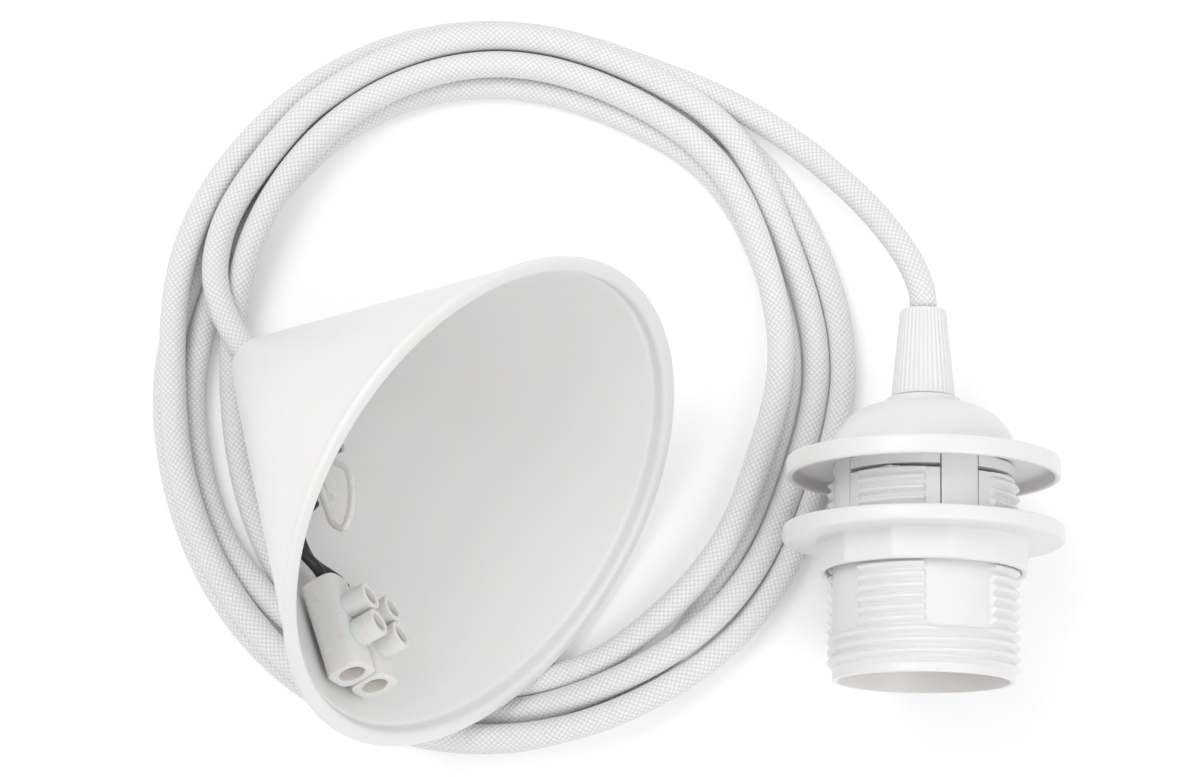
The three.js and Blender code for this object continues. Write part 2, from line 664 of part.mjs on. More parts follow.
// One conductor inside the dome, from the sheath's end to its terminal screw
function holderWire(screwSide) {
  const foot = blockBack - SCREW_HEAD - 3 * GAP;
  const sign = Math.sign(screwSide);
  const side = sign * (WIRE_RADIUS + GAP);
  const path = vectors([
    [side, 0, SHEATH_END + GAP],
    [side, 0, SHEATH_END + WIRE_STRAIGHT],
    [screwSide - sign * 2 * WIRE_RADIUS, 0, (SHEATH_END + foot) / 2],
    [screwSide, 0, foot],
  ]);
  return tube(path, WIRE_RADIUS, WIRE_SIDES, WIRE_STEP);
}

// Distance of the outermost strand from the coil's centre
function coilRadius(angle) {
  return COIL_RADIUS - COIL_OVAL * Math.cos(2 * angle) + COIL_EGG * Math.cos(3 * angle);
}

function coilOutline(offset) {
  const points = [];
  for (let i = 0; i < COIL_FACETS; i += 1) {
    const angle = (2 * Math.PI * i) / COIL_FACETS;
    const radius = coilRadius(angle) + offset;
    points.push(new THREE.Vector2(radius * Math.cos(angle), radius * Math.sin(angle)));
  }
  return points;
}

// The room that the loose turns take up, with what lies in it cut away
function cordCoil(keepOut) {
  const edge = CORD_RADIUS / 2;
  const shape = new THREE.Shape(coilOutline(CORD_RADIUS - edge));
  shape.holes.push(new THREE.Path(coilOutline(edge - CORD_RADIUS - COIL_BAND)));
  const settings = {
    depth: 2 * CORD_RADIUS * COIL_LAYERS - 2 * edge,
    bevelThickness: edge,
    bevelSize: edge,
    bevelSegments: 1,
  };
  const ring = new THREE.ExtrudeGeometry(shape, settings).translate(COIL_CENTRE.x, COIL_CENTRE.y, edge);
  const left = cut(solid(ring), ...keepOut).decompose();
  return left.reduce((largest, body) => (body.volume() > largest.volume() ? body : largest));
}

function placed(body, group) {
  group.updateMatrix();
  return body.transform([...group.matrix.elements]);
}

const set = new THREE.Group();

const holder = new THREE.Group();
holder.position.copy(HOLDER_TOP);
holder.rotation.set(rad(HOLDER_TILT), 0, rad(HOLDER_TURN), 'ZYX');
set.add(holder);
piece('cord_grip', white, cordGrip(), holder);
piece('holder_cap', white, holderCap(), holder);
piece('holder_skirt', white, holderSkirt(), holder);
piece('shade_ring', white, shadeRing(), holder);
piece('contact_block', ceramic, contactBlock(), holder);
piece('lamp_thread', brass, lampThread(), holder);
piece('centre_contact', brass, centreContact(), holder);
holderScrewSides().forEach((x, i) => {
  const screw = slottedScrew(SCREW_RADIUS / 2, SCREW_LENGTH, SCREW_RADIUS, SCREW_HEAD)
    .rotate([180, 0, 0])
    .translate(x, 0, blockBack + SCREW_LENGTH - GAP);
  piece(`holder_screw_${i + 1}`, brass, screw, holder);
  piece(`holder_wire_${i + 1}`, black, holderWire(x), holder);
});

const cup = new THREE.Group();
cup.position.copy(CUP_APEX);
cup.rotation.set(0, rad(90 - CUP_TILT), rad(CUP_TURN), 'ZYX');
set.add(cup);
piece('ceiling_cup', white, ceilingCup(), cup);

const clamp = onWall(CLAMP_TURN);
cup.add(clamp);
piece('clamp_body', clear, clampBody(), clamp);
piece('clamp_bar', clear, clampBar(), clamp);
clampScrewPlaces().forEach(([x, y], i) => {
  const foot = clampCord + boreRadius + BAR_HEIGHT + GAP - CLAMP_SCREW_LENGTH;
  const screw = slottedScrew(CLAMP_SCREW_RADIUS, CLAMP_SCREW_LENGTH, CLAMP_SCREW_HEAD, SCREW_HEAD)
    .translate(x, y, foot);
  piece(`clamp_screw_${i + 1}`, steel, screw, clamp);
});

const terminals = onWall(TERMINAL_TURN);
cup.add(terminals);
piece('terminal_block', clear, terminalBlock(), terminals);
poleSides().forEach((y, i) => piece(`terminal_sleeve_${i + 1}`, brass, sleeve(y), terminals));
terminalScrewPlaces().forEach(([x, y], i) => {
  const screw = slottedScrew(TERMINAL_SCREW_RADIUS, TERMINAL_SCREW_LENGTH, TERMINAL_SCREW_RADIUS, GAP)
    .translate(x, y, sleeveCentre + SLEEVE_RADIUS / 2);
  piece(`terminal_screw_${i + 1}`, steel, screw, terminals);
});
piece('cup_wire_1', black, cupWire(-1), cup);
piece('cup_wire_2', black, cupWire(1), cup);

const lead = tube(vectors(LEAD), CORD_RADIUS, CORD_SIDES, CORD_STEP);
const tail = tube(vectors(TAIL), CORD_RADIUS, CORD_SIDES, CORD_STEP);
piece('cord_lead', textile, lead, set);
piece('cord_tail', textile, tail, set);
const clearOfLead = tube(vectors(LEAD), CORD_RADIUS + GAP, CORD_SIDES, CORD_STEP);
const clearOfTail = tube(vectors(TAIL), CORD_RADIUS + GAP, CORD_SIDES, CORD_STEP);
const clearOfHolder = placed(cylinder(RING_RADIUS + 2 * GAP, flangeTop, SKIRT_END, ROUND), holder);
const mouth = cupHeight + 2 * GAP;
const clearOfCup = placed(turnedFull([
  [0, CUP_END - GAP],
  [CUP_END * coneSlope + GAP, CUP_END - GAP],
  [mouth * coneSlope + 2 * GAP, mouth],
  [0, mouth],
], ROUND), cup);
piece('cord_coil', textile, cordCoil([clearOfLead, clearOfTail, clearOfHolder, clearOfCup]), set);

export default set;
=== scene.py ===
# %% [markdown]
# # Pendant cord set
# A lamp holder, about two metres of white textile cord in loose loops, and the conical cup that
# covers the cord's connection at the ceiling. All of it is white, so form, edges and small
# shadows carry the picture: the ribs of the grip, the thread, the braid and the thin cup wall.

# %% Setup
import bpy
import numpy as np
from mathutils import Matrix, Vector


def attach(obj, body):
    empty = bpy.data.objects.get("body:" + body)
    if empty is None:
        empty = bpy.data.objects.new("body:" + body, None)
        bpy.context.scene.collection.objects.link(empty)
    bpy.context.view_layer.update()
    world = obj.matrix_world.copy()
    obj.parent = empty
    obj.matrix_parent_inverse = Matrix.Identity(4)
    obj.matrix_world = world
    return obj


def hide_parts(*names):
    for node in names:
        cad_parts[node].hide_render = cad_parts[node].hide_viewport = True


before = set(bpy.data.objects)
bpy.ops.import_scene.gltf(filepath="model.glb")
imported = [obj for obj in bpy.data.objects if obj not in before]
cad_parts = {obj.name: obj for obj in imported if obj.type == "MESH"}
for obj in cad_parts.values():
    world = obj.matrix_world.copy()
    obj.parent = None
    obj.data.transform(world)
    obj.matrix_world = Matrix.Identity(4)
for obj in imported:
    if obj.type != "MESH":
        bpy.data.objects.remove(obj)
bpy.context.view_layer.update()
MM = 0.001
ROOT = "set"
RING = "ring"
print("pieces in the frame:", len(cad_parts))

# %% [markdown]
# ## Camera, light and table
# The set lies on a white table and is seen almost from straight above with a long lens, so that
# circles on the table stay nearly round. A large soft box at the upper left is the key, one at
# the lower right fills its shadows, and a bright surround keeps those under the loops pale.

# %% Camera and light
LENS = 94.2
SENSOR = 36.0
CAMERA_DISTANCE = 671 * MM
CAMERA_ELEVATION = np.radians(80.5)
CAMERA_TARGET = np.array([-8.58, 31.49, 0.0]) * MM
# name: place and width in metres, power in watts
LIGHTS = {
    "key": ((-0.4, 0.35, 0.9), 0.6, 3.5),
    "fill": ((0.45, -0.35, 0.8), 0.6, 2.6),
}
SURROUND = 0.67


def make_camera():
    """Camera on a sphere round the target: target + distance (0, -cos e, sin e), looking back."""
    back = np.array([0, -np.cos(CAMERA_ELEVATION), np.sin(CAMERA_ELEVATION)])
    camera = bpy.data.objects.new("camera", bpy.data.cameras.new("camera"))
    camera.data.lens = LENS
    camera.data.sensor_width = SENSOR
    camera.data.clip_start = 0.02
    camera.location = CAMERA_TARGET + CAMERA_DISTANCE * back
    camera.rotation_euler = (np.pi / 2 - CAMERA_ELEVATION, 0, 0)
    bpy.context.scene.collection.objects.link(camera)
    bpy.context.scene.camera = camera


def make_light(name, place, size, power):
    """A square soft box at a place, aimed at the camera's target."""
    data = bpy.data.lights.new(name, "AREA")
    data.shape = "SQUARE"
    data.size = size
    data.energy = power
    light = bpy.data.objects.new(name, data)
    light.location = place
    towards = Vector(CAMERA_TARGET - np.array(place))
    light.rotation_euler = towards.to_track_quat("-Z", "Y").to_euler()
    bpy.context.scene.collection.objects.link(light)


def make_world(strength):
    """An even white surround of the strength."""
    world = bpy.data.worlds.new("surround")
    world.use_nodes = True
    surround = world.node_tree.nodes["Background"]
    surround.inputs["Color"].default_value = (1.0, 1.0, 1.0, 1)
    surround.inputs["Strength"].default_value = strength
    bpy.context.scene.world = world


make_camera()
for name, (place, width, power) in LIGHTS.items():
    make_light(name, place, width, power)
make_world(SURROUND)
bpy.context.scene.view_settings.view_transform = "Standard"
print("lights:", ", ".join(LIGHTS))

# %% [markdown]
# ## Tools for surfaces
# Every surface is a grid of points: a profile turned round an axis, or a ring of points carried
# along a path. One function turns such a grid into a mesh. The holder and the cup are drawn in
# frames of their own, in millimetres, and only then set down where the photograph has them.

# %% Grids and frames
def grid_mesh(name, grid, closed_rows=False, closed_columns=True, caps=False):
    """Mesh of quads on grid[i, j], i along the rows and j round the columns."""
    rows, columns = grid.shape[:2]
    index = np.arange(rows * columns).reshape(rows, columns)
    across = np.roll(index, -1, axis=1) if closed_columns else index[:, 1:]
    here = index if closed_columns else index[:, :-1]
    if closed_rows:
        below, below_across = np.roll(here, -1, axis=0), np.roll(across, -1, axis=0)
    else:
        here, below = here[:-1], here[1:]
        across, below_across = across[:-1], across[1:]
    quads = np.stack([here, across, below_across, below], axis=-1).reshape(-1, 4)
    faces = quads.tolist()
    if caps:
        faces += [index[0][::-1].tolist(), index[-1].tolist()]
    mesh = bpy.data.meshes.new(name)
    mesh.from_pydata(grid.reshape(-1, 3).tolist(), [], faces)
    mesh.polygons.foreach_set("use_smooth", [True] * len(mesh.polygons))
    mesh.update()
    return mesh


def piece(name, mesh, material, body=ROOT, replaces=()):
    """An object for the mesh, with normals outward, its finish and its body."""
    item = bpy.data.objects.new(name, mesh)
    bpy.context.scene.collection.objects.link(item)
    if signed_volume(mesh) < 0:
        mesh.flip_normals()
    mesh.materials.append(material)
    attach(item, body)
    if replaces:
        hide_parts(*replaces)
    print(f"{name}: {len(mesh.polygons)} faces")
    return item


def signed_volume(mesh):
    """Sum of p0 . (p1 x p2) / 6 over the triangles; negative when the faces look inward."""
    mesh.calc_loop_triangles()
    corners = np.empty(3 * len(mesh.loop_triangles), dtype=np.int32)
    mesh.loop_triangles.foreach_get("vertices", corners)
    points = np.empty(3 * len(mesh.vertices))
    mesh.vertices.foreach_get("co", points)
    a, b, c = points.reshape(-1, 3)[corners.reshape(-1, 3)].transpose(1, 0, 2)
    return float((a * np.cross(b, c)).sum() / 6)


def turn_x(degrees):
    """Matrix of a turn about X, from Y towards Z."""
    c, s = np.cos(np.radians(degrees)), np.sin(np.radians(degrees))
    return np.array([[1, 0, 0], [0, c, -s], [0, s, c]])


def turn_y(degrees):
    """Matrix of a turn about Y, from Z towards X."""
    c, s = np.cos(np.radians(degrees)), np.sin(np.radians(degrees))
    return np.array([[c, 0, s], [0, 1, 0], [-s, 0, c]])


def turn_z(degrees):
    """Matrix of a turn about Z, from X towards Y."""
    c, s = np.cos(np.radians(degrees)), np.sin(np.radians(degrees))
    return np.array([[c, -s, 0], [s, c, 0], [0, 0, 1]])


def revolve(profile, columns):
    """Points (r cos a, r sin a, h) for each [r, h] of the profile and each angle a."""
    angle = np.linspace(0, 2 * np.pi, columns, endpoint=False)
    radius, height = np.asarray(profile, float).T
    x = radius[:, None] * np.cos(angle)
    y = radius[:, None] * np.sin(angle)
    return np.stack([x, y, np.broadcast_to(height[:, None], x.shape)], axis=-1)


def rounded(profile, radius, steps=4):
    """The closed profile with each corner replaced by a quadratic arc of about the radius."""
    points = np.asarray(profile, float)
    result = []
    for i, corner in enumerate(points):
        before, after = points[i - 1], points[(i + 1) % len(points)]
        start = corner + step_to(before - corner, radius)
        end = corner + step_to(after - corner, radius)
        t = np.linspace(0, 1, steps + 1)[:, None]
        result.append((1 - t) ** 2 * start + 2 * t * (1 - t) * corner + t ** 2 * end)
    return np.vstack(result)


def step_to(vector, radius):
    """At most the radius along the vector, and never past 0.45 of it."""
    length = np.linalg.norm(vector)
    return vector / length * min(radius, 0.45 * length)


HOLDER_TOP = np.array([58, 43.33, 26.24])
HOLDER_FRAME = turn_z(-1.2) @ turn_x(87.1)
CUP_APEX = np.array([-87.78, 39.29, 8.14])
CUP_FRAME = turn_z(-34.5) @ turn_y(90 - 30.06)


def on_holder(points):
    """From the holder's own frame (+Z to the mouth, +Y up) in millimetres to the set's metres."""
    return (points @ HOLDER_FRAME.T + HOLDER_TOP) * MM


def in_cup(points):
    """From the cup's own frame (+Z out of the mouth) in millimetres to the set's metres."""
    return (points @ CUP_FRAME.T + CUP_APEX) * MM


# %% [markdown]
# ## Finishes
# Moulded plastic is never one flat tone: the mould leaves a fine grain and the gloss drifts a
# little. Each finish mixes two close tones by a noise, lets the roughness follow another, and
# raises a very low bump.

# %% Finishes
def shader(name):
    """A new material with its nodes, its links and its surface node."""
    material = bpy.data.materials.new(name)
    material.use_nodes = True
    nodes = material.node_tree.nodes
    return material, nodes, material.node_tree.links, nodes["Principled BSDF"]


def noise_at(nodes, links, scale, detail=3.0):
    """A noise of the scale per metre, fixed to the object."""
    place = nodes.new("ShaderNodeTexCoord")
    noise = nodes.new("ShaderNodeTexNoise")
    noise.inputs["Scale"].default_value = scale
    noise.inputs["Detail"].default_value = detail
    links.new(place.outputs["Object"], noise.inputs["Vector"])
    return noise.outputs["Fac"]


def spread_out(nodes, links, value, low, high):
    """Maps a value round the middle of 0..1 to low..high."""
    spread = nodes.new("ShaderNodeMapRange")
    spread.inputs["From Min"].default_value = 0.3
    spread.inputs["From Max"].default_value = 0.7
    spread.inputs["To Min"].default_value = low
    spread.inputs["To Max"].default_value = high
    links.new(value, spread.inputs["Value"])
    return spread.outputs["Result"]


def two_tones(nodes, links, value, dark, light):
    """A colour between dark at value 0 and light at value 1."""
    mix = nodes.new("ShaderNodeMix")
    mix.data_type = "RGBA"
    mix.inputs["A"].default_value = (*dark, 1)
    mix.inputs["B"].default_value = (*light, 1)
    links.new(value, mix.inputs["Factor"])
    return mix.outputs["Result"]


def add_bump(nodes, links, surface, height, distance, strength):
    """Lets the height, times the distance in metres, tilt the surface's shading."""
    bump = nodes.new("ShaderNodeBump")
    bump.inputs["Distance"].default_value = distance
    bump.inputs["Strength"].default_value = strength
    links.new(height, bump.inputs["Height"])
    links.new(bump.outputs["Normal"], surface.inputs["Normal"])


def moulded(name, dark, light, gloss, grain, subsurface=0.0, see_through=0.0):
    """Plastic or metal: gloss is (least, most) roughness, grain is (per metre, height)."""
    material, nodes, links, surface = shader(name)
    tone = noise_at(nodes, links, 60.0)
    links.new(two_tones(nodes, links, tone, dark, light), surface.inputs["Base Color"])
    drift = noise_at(nodes, links, 140.0, 5.0)
    links.new(spread_out(nodes, links, drift, *gloss), surface.inputs["Roughness"])
    add_bump(nodes, links, surface, noise_at(nodes, links, grain[0], 4.0), grain[1], 0.6)
    surface.inputs["Subsurface Weight"].default_value = subsurface
    surface.inputs["Subsurface Scale"].default_value = 0.0015
    surface.inputs["Transmission Weight"].default_value = see_through
    return material, surface


white_plastic, _ = moulded(
    "white plastic", (0.80, 0.80, 0.795), (0.835, 0.835, 0.83),
    gloss=(0.31, 0.4), grain=(3500.0, 0.00002), subsurface=0.15)
natural_plastic, _ = moulded(
    "natural plastic", (0.79, 0.79, 0.77), (0.84, 0.84, 0.825),
    gloss=(0.24, 0.36), grain=(2500.0, 0.00003), subsurface=0.3, see_through=0.06)
ceramic, _ = moulded(
    "unglazed ceramic", (0.72, 0.69, 0.63), (0.80, 0.78, 0.72),
    gloss=(0.55, 0.75), grain=(2200.0, 0.00006))
brass, brass_surface = moulded(
    "brass", (0.62, 0.45, 0.19), (0.74, 0.57, 0.28),
    gloss=(0.25, 0.42), grain=(1800.0, 0.00002))
steel, steel_surface = moulded(
    "zinc plated steel", (0.52, 0.53, 0.55), (0.64, 0.65, 0.66),
    gloss=(0.28, 0.42), grain=(1800.0, 0.00002))
black_plastic, _ = moulded(
    "black insulation", (0.006, 0.006, 0.006), (0.012, 0.012, 0.013),
    gloss=(0.3, 0.42), grain=(2000.0, 0.00002))
for surface in (brass_surface, steel_surface):
    surface.inputs["Metallic"].default_value = 1.0
print("materials so far:", len(bpy.data.materials))

# %% [markdown]
# ## The braid
# The cord's braid is drawn from its own length and turn coordinates: two families of yarn wind
# round it in opposite directions and take turns on top. The same height makes the bump and a
# tone with painted shade, darker where the yarns dip between each other.

# %% Braid
BRAID_PITCH = 1.25 * MM
BRAID_CARRIERS = 14
# the darker tone is painted shade in the dips between the yarns; the lighter one is the yarn's own
# white
BRAID_GAP_SHADE, BRAID_LIGHT = (0.71, 0.71, 0.71), (0.93, 0.93, 0.925)
BRAID_RELIEF = 0.2 * MM


def calculate(nodes, links, operation, *values):
    """The operation on numbers and sockets, as a socket."""
    node = nodes.new("ShaderNodeMath")
    node.operation = operation
    for socket, value in zip(node.inputs, values):
        if isinstance(value, (int, float)):
            socket.default_value = value
        else:
            links.new(value, socket)
    return node.outputs["Value"]


def sine_of(nodes, links, value):
    """|sin(pi value)| and sin(pi value) of a socket."""
    scaled = calculate(nodes, links, "MULTIPLY", value, np.pi)
    wave = calculate(nodes, links, "SINE", scaled)
    return calculate(nodes, links, "ABSOLUTE", wave), wave


def braid():
    """Two families of yarn cross at a = u/p + n v and b = u/p - n v, and take turns on top.

    u is the length along the cord, v the share of a turn, p the pitch and n the yarns of one
    family. The yarn on top has the height |sin| across it times the root of |sin| along it.
    """
    material, nodes, links, surface = shader("white textile")
    place = nodes.new("ShaderNodeUVMap")
    place.uv_map = "along"
    split = nodes.new("ShaderNodeSeparateXYZ")
    links.new(place.outputs["UV"], split.inputs["Vector"])
    along = calculate(nodes, links, "DIVIDE", split.outputs["X"], BRAID_PITCH)
    round_it = calculate(nodes, links, "MULTIPLY", split.outputs["Y"], float(BRAID_CARRIERS))
    ridge_a, wave_a = sine_of(nodes, links, calculate(nodes, links, "ADD", along, round_it))
    ridge_b, wave_b = sine_of(nodes, links, calculate(nodes, links, "SUBTRACT", along, round_it))
    product = calculate(nodes, links, "MULTIPLY", wave_a, wave_b)
    over = calculate(nodes, links, "GREATER_THAN", product, 0.0)
    first = calculate(nodes, links, "MULTIPLY", ridge_a, calculate(nodes, links, "SQRT", ridge_b))
    second = calculate(nodes, links, "MULTIPLY", ridge_b, calculate(nodes, links, "SQRT", ridge_a))
    change = calculate(nodes, links, "SUBTRACT", first, second)
    gain = calculate(nodes, links, "MULTIPLY", over, change)
    height = calculate(nodes, links, "ADD", second, gain)
    # painted shade: the low parts of the braid's height get the darker tone
    tone = two_tones(nodes, links, height, BRAID_GAP_SHADE, BRAID_LIGHT)
    links.new(tone, surface.inputs["Base Color"])
    fuzz = spread_out(nodes, links, noise_at(nodes, links, 900.0), 0.75, 0.95)
    links.new(fuzz, surface.inputs["Roughness"])
    add_bump(nodes, links, surface, height, BRAID_RELIEF, 0.7)
    surface.inputs["Sheen Weight"].default_value = 0.25
    return material


textile = braid()
print(f"braid: {BRAID_CARRIERS} yarns a way, one crossing each {BRAID_PITCH / MM} mm")

# %% [markdown]
# ## The cord
# One length of round textile cord, 5.6 mm thick: straight out of the grip, down to the table,
# four and a half loose turns that cross each other, up beside the cup and through its small end
# to the clamp. The turns are worked out about the coil's centre: a strand's lane says how many
# cord widths it lies inside the outermost one, and its level is the height of its middle. Last,
# strands that come too near push each other apart until they lie beside or on one another.

# %% Cord route
CORD = 5.6
LEAD = [
    [58, 43.33, 26.24], [58, 46.8, 26.02], [56.8, 51.2, 25.2], [54.7, 56, 23.7],
    [51.6, 61.4, 21.2], [47.4, 67.6, 17.6], [42, 74.2, 13.6], [35.2, 81.2, 9.8],
    [26.6, 88.2, 6.6], [16.6, 94.6, 4.2], [-1.1, 102.1, 3],
]
TAIL = [
    [-86.1, 70.7, 8.6], [-89.6, 60.9, 9.5], [-89.9, 52.6, 10.3], [-87.4, 44.6, 11.1],
    [-81.2, 34.9, 12.5], [-76.7, 27.7, 16.9], [-72.4, 18.3, 21.5], [-69.7, 11.1, 24.7],
    [-67.5, 4.8, 27.4],
]
COIL_CENTRE = (-29.78, 32.69)
COIL_RADIUS = 74.3
LANE = 5.85
LOW = CORD / 2
TOP = 8.5
# [degrees round the coil, lane]
LANES = [
    [67.5, 0], [157.5, 0], [180, 0.42], [225, 0.36], [248, 0.2], [270, 0.05], [315, 0],
    [337.5, 0.35], [348, 0.35], [360, 0], [405, 0.1], [427.5, 1], [495, 1], [517.5, 0.5],
    [540, 0], [630, 0], [652.5, 0.4], [664, 1.1], [675, 1.8], [697.5, 2.33], [708, 2.33],
    [720, 2], [742.5, 2], [765, 1.6], [787.5, 2], [855, 2], [877.5, 1.5], [900, 1], [930, 1],
    [936, 1.1], [947, 1.4], [958, 1.65], [970, 1.92], [992, 1.85], [1003, 1.9], [1012.5, 2.05],
    [1023, 2.3], [1046, 2.5], [1057.5, 2.75], [1068, 2.75], [1080, 2.4], [1102.5, 2.1],
    [1125, 1.35], [1147.5, 1.45], [1170, 1.4], [1192.5, 1.7], [1215, 2.05], [1265, 2.5],
    [1282.5, 2.45], [1305, 2.2], [1316, 1.85], [1327.5, 1.45], [1339, 1.15], [1361, 1.05],
    [1395, 1], [1417.5, 1.33], [1428, 1.33], [1440, 1], [1462.5, 0.95], [1474, 0.75],
    [1485, 0.2], [1507.5, 0.4], [1530, 0.35], [1552.5, 0.68], [1575, 1],
]
# [degrees round the coil, height of the strand's middle]
LEVELS = [
    [67.5, LOW], [112.5, LOW], [135, 3.6], [146, 6.2], [157.5, TOP], [292.5, TOP], [304, 6.6],
    [315, 4], [326, LOW], [930, LOW], [947, 6.2], [958, TOP], [970, 6.8], [981, 4.2],
    [992, LOW], [1003, LOW], [1012.5, 4.4], [1023, 7.4], [1035, TOP], [1230, TOP],
    [1237.5, 7.4], [1246, 5.2], [1255, 3.2], [1265, LOW], [1350, LOW], [1361, 4.2],
    [1372.5, 7], [1384, TOP], [1395, 6.8], [1406, 4.2], [1417.5, LOW], [1440, LOW],
    [1462.5, 3.8], [1474, 6.4], [1485, TOP], [1575, TOP],
]


def coil_turns():
    """Points at the coil's radius - 2 cos 2a + cos 3a, less the lane, every 7.5 degrees of a."""
    degrees = np.arange(75, 1570, 7.5)
    lane = blurred(np.interp(degrees, *np.transpose(LANES)))
    height = blurred(np.interp(degrees, *np.transpose(LEVELS)))
    a = np.radians(degrees)
    radius = COIL_RADIUS - 2 * np.cos(2 * a) + np.cos(3 * a) - LANE * lane
    x = COIL_CENTRE[0] + radius * np.cos(a)
    y = COIL_CENTRE[1] + radius * np.sin(a)
    return np.stack([x, y, height], axis=1)


def blurred(values):
    """Each value with a quarter of each neighbour."""
    wide = np.concatenate([values[:1], values, values[-1:]])
    return np.convolve(wide, [0.25, 0.5, 0.25], "valid")


def smooth_curve(points, steps=40):
    """Centripetal Catmull-Rom curve through the points, by repeated mixing of neighbours."""
    ends = np.vstack([2 * points[0] - points[1], points, 2 * points[-1] - points[-2]])
    knots = np.cumsum(np.append(0, np.sqrt(np.linalg.norm(np.diff(ends, axis=0), axis=1))))
    p = [ends[i:len(ends) - 3 + i, None] for i in range(4)]
    t = [knots[i:len(ends) - 3 + i, None] for i in range(4)]
    x = t[1] + (t[2] - t[1]) * np.linspace(0, 1, steps, endpoint=False)

    def mixed(first, last, start, end):
        before, after = (end - x)[..., None], (x - start)[..., None]
        return (before * first + after * last) / (end - start)[..., None]

    near = [mixed(p[i], p[i + 1], t[i], t[i + 1]) for i in range(3)]
    wide = [mixed(near[i], near[i + 1], t[i], t[i + 2]) for i in range(2)]
    curve = mixed(wide[0], wide[1], t[1], t[2])
    return np.vstack([curve.reshape(-1, points.shape[1]), points[-1:]])


def even_steps(curve, step):
    """The curve's points at equal distances, about one step apart, and its length."""
    run = np.append(0, np.cumsum(np.linalg.norm(np.diff(curve, axis=0), axis=1)))
    places = np.linspace(0, run[-1], int(run[-1] / step) + 1)
    return np.stack([np.interp(places, run, axis) for axis in curve.T], axis=1), run[-1]


# Millimetres along the cord: points nearer than this are one strand, the first and last
# stretches are held, and the hold lets go over the last one.
ONE_STRAND, HELD_START, HELD_END, LETTING_GO = 26, 10, 75, 15


def settled(curve, reach=5.7, rounds=60, step=2.0, blur=17):
    """Each round, points of two strands nearer than the reach move away by the smoothed shortfall.

    The shortfall is averaged over the close points and blurred along the cord. The ends stay
    where they are held, and nothing sinks below the table.
    """
    route, length = even_steps(curve, step)
    place = np.arange(len(route)) * step
    others = np.abs(place[:, None] - place) > ONE_STRAND
    free = (np.clip((place - HELD_START) / LETTING_GO, 0, 1)
            * np.clip((length - HELD_END - place) / LETTING_GO, 0, 1))
    window = np.hanning(blur) / np.hanning(blur).sum()
    for _ in range(rounds):
        apart = route[:, None] - route
        distance = np.maximum(np.linalg.norm(apart, axis=2), 1e-6)
        close = others & (distance < reach)
        if not close.any():
            break
        missing = np.where(close, (reach - distance) / distance, 0)
        push = (missing[..., None] * apart).sum(1) / np.maximum(close.sum(1), 1)[:, None]
        push = np.stack([np.convolve(axis, window, "same") for axis in push.T], axis=1) * 1.1
        route = route + push * free[:, None]
        route[:, 2] = np.maximum(route[:, 2], LOW)
    return route


cord_route = settled(smooth_curve(np.vstack([LEAD, coil_turns(), TAIL])))
cord_line, cord_length = even_steps(smooth_curve(cord_route, 4), 1.6)
print(f"cord: {cord_length:.0f} mm long, {len(cord_line)} rings")


# %% Cord
def tube_frames(line):
    """Level side (z x tangent) and upper side (tangent x side) at each point."""
    tangent = np.gradient(line, axis=0)
    tangent /= np.linalg.norm(tangent, axis=1)[:, None]
    side = np.cross([0, 0, 1], tangent)
    side /= np.linalg.norm(side, axis=1)[:, None]
    return side, np.cross(tangent, side)


def tube_grid(line, radius, sides):
    """Points line + radius (cos a side + sin a up) for each angle a."""
    side, up = tube_frames(line)
    a = np.linspace(0, 2 * np.pi, sides, endpoint=False)
    ring = np.cos(a)[None, :, None] * side[:, None] + np.sin(a)[None, :, None] * up[:, None]
    return line[:, None] + np.asarray(radius).reshape(-1, 1, 1) * ring


def add_length_and_turn(mesh, line, sides):
    """UV map: u is the length along the line in metres, v the share of a turn."""
    run = np.append(0, np.cumsum(np.linalg.norm(np.diff(line, axis=0), axis=1)))
    corners = np.empty(len(mesh.loops), dtype=np.int32)
    mesh.loops.foreach_get("vertex_index", corners)
    ring, turn = corners // sides, corners % sides
    starts = np.empty(len(mesh.polygons), dtype=np.int32)
    totals = np.empty(len(mesh.polygons), dtype=np.int32)
    mesh.polygons.foreach_get("loop_start", starts)
    mesh.polygons.foreach_get("loop_total", totals)
    v = turn / sides
    wraps = np.maximum.reduceat(v, starts) - np.minimum.reduceat(v, starts) > 0.5
    v = v + (np.repeat(wraps & (totals == 4), totals) & (v < 0.25))
    layer = mesh.uv_layers.new(name="along")
    layer.data.foreach_set("uv", np.stack([run[ring], v], axis=1).ravel())


CORD_SIDES = 32
cord_mesh = grid_mesh("cord", tube_grid(cord_line * MM, CORD / 2 * MM, CORD_SIDES), caps=True)
add_length_and_turn(cord_mesh, cord_line * MM, CORD_SIDES)
cord = piece("cord", cord_mesh, textile,
             replaces=("cord_lead", "cord_tail", "cord_coil"))

# %% [markdown]
# ## The cord grip
# A slim ribbed cone screws onto the holder's stem and squeezes the cord. Real ribs are cheap
# here: the radius swings with the angle, and the swing fades out towards both rounded ends.

# %% Cord grip
GRIP_LENGTH = 18.4
GRIP_TOP, GRIP_FOOT = 4.75, 6.55
GRIP_RIBS = 36
RIB_DEPTH = 0.32
BORE = 3.1
STEM_RADIUS, STEM_TOP = 4.3, 9.3
STEM_ROOM = STEM_RADIUS + 0.3


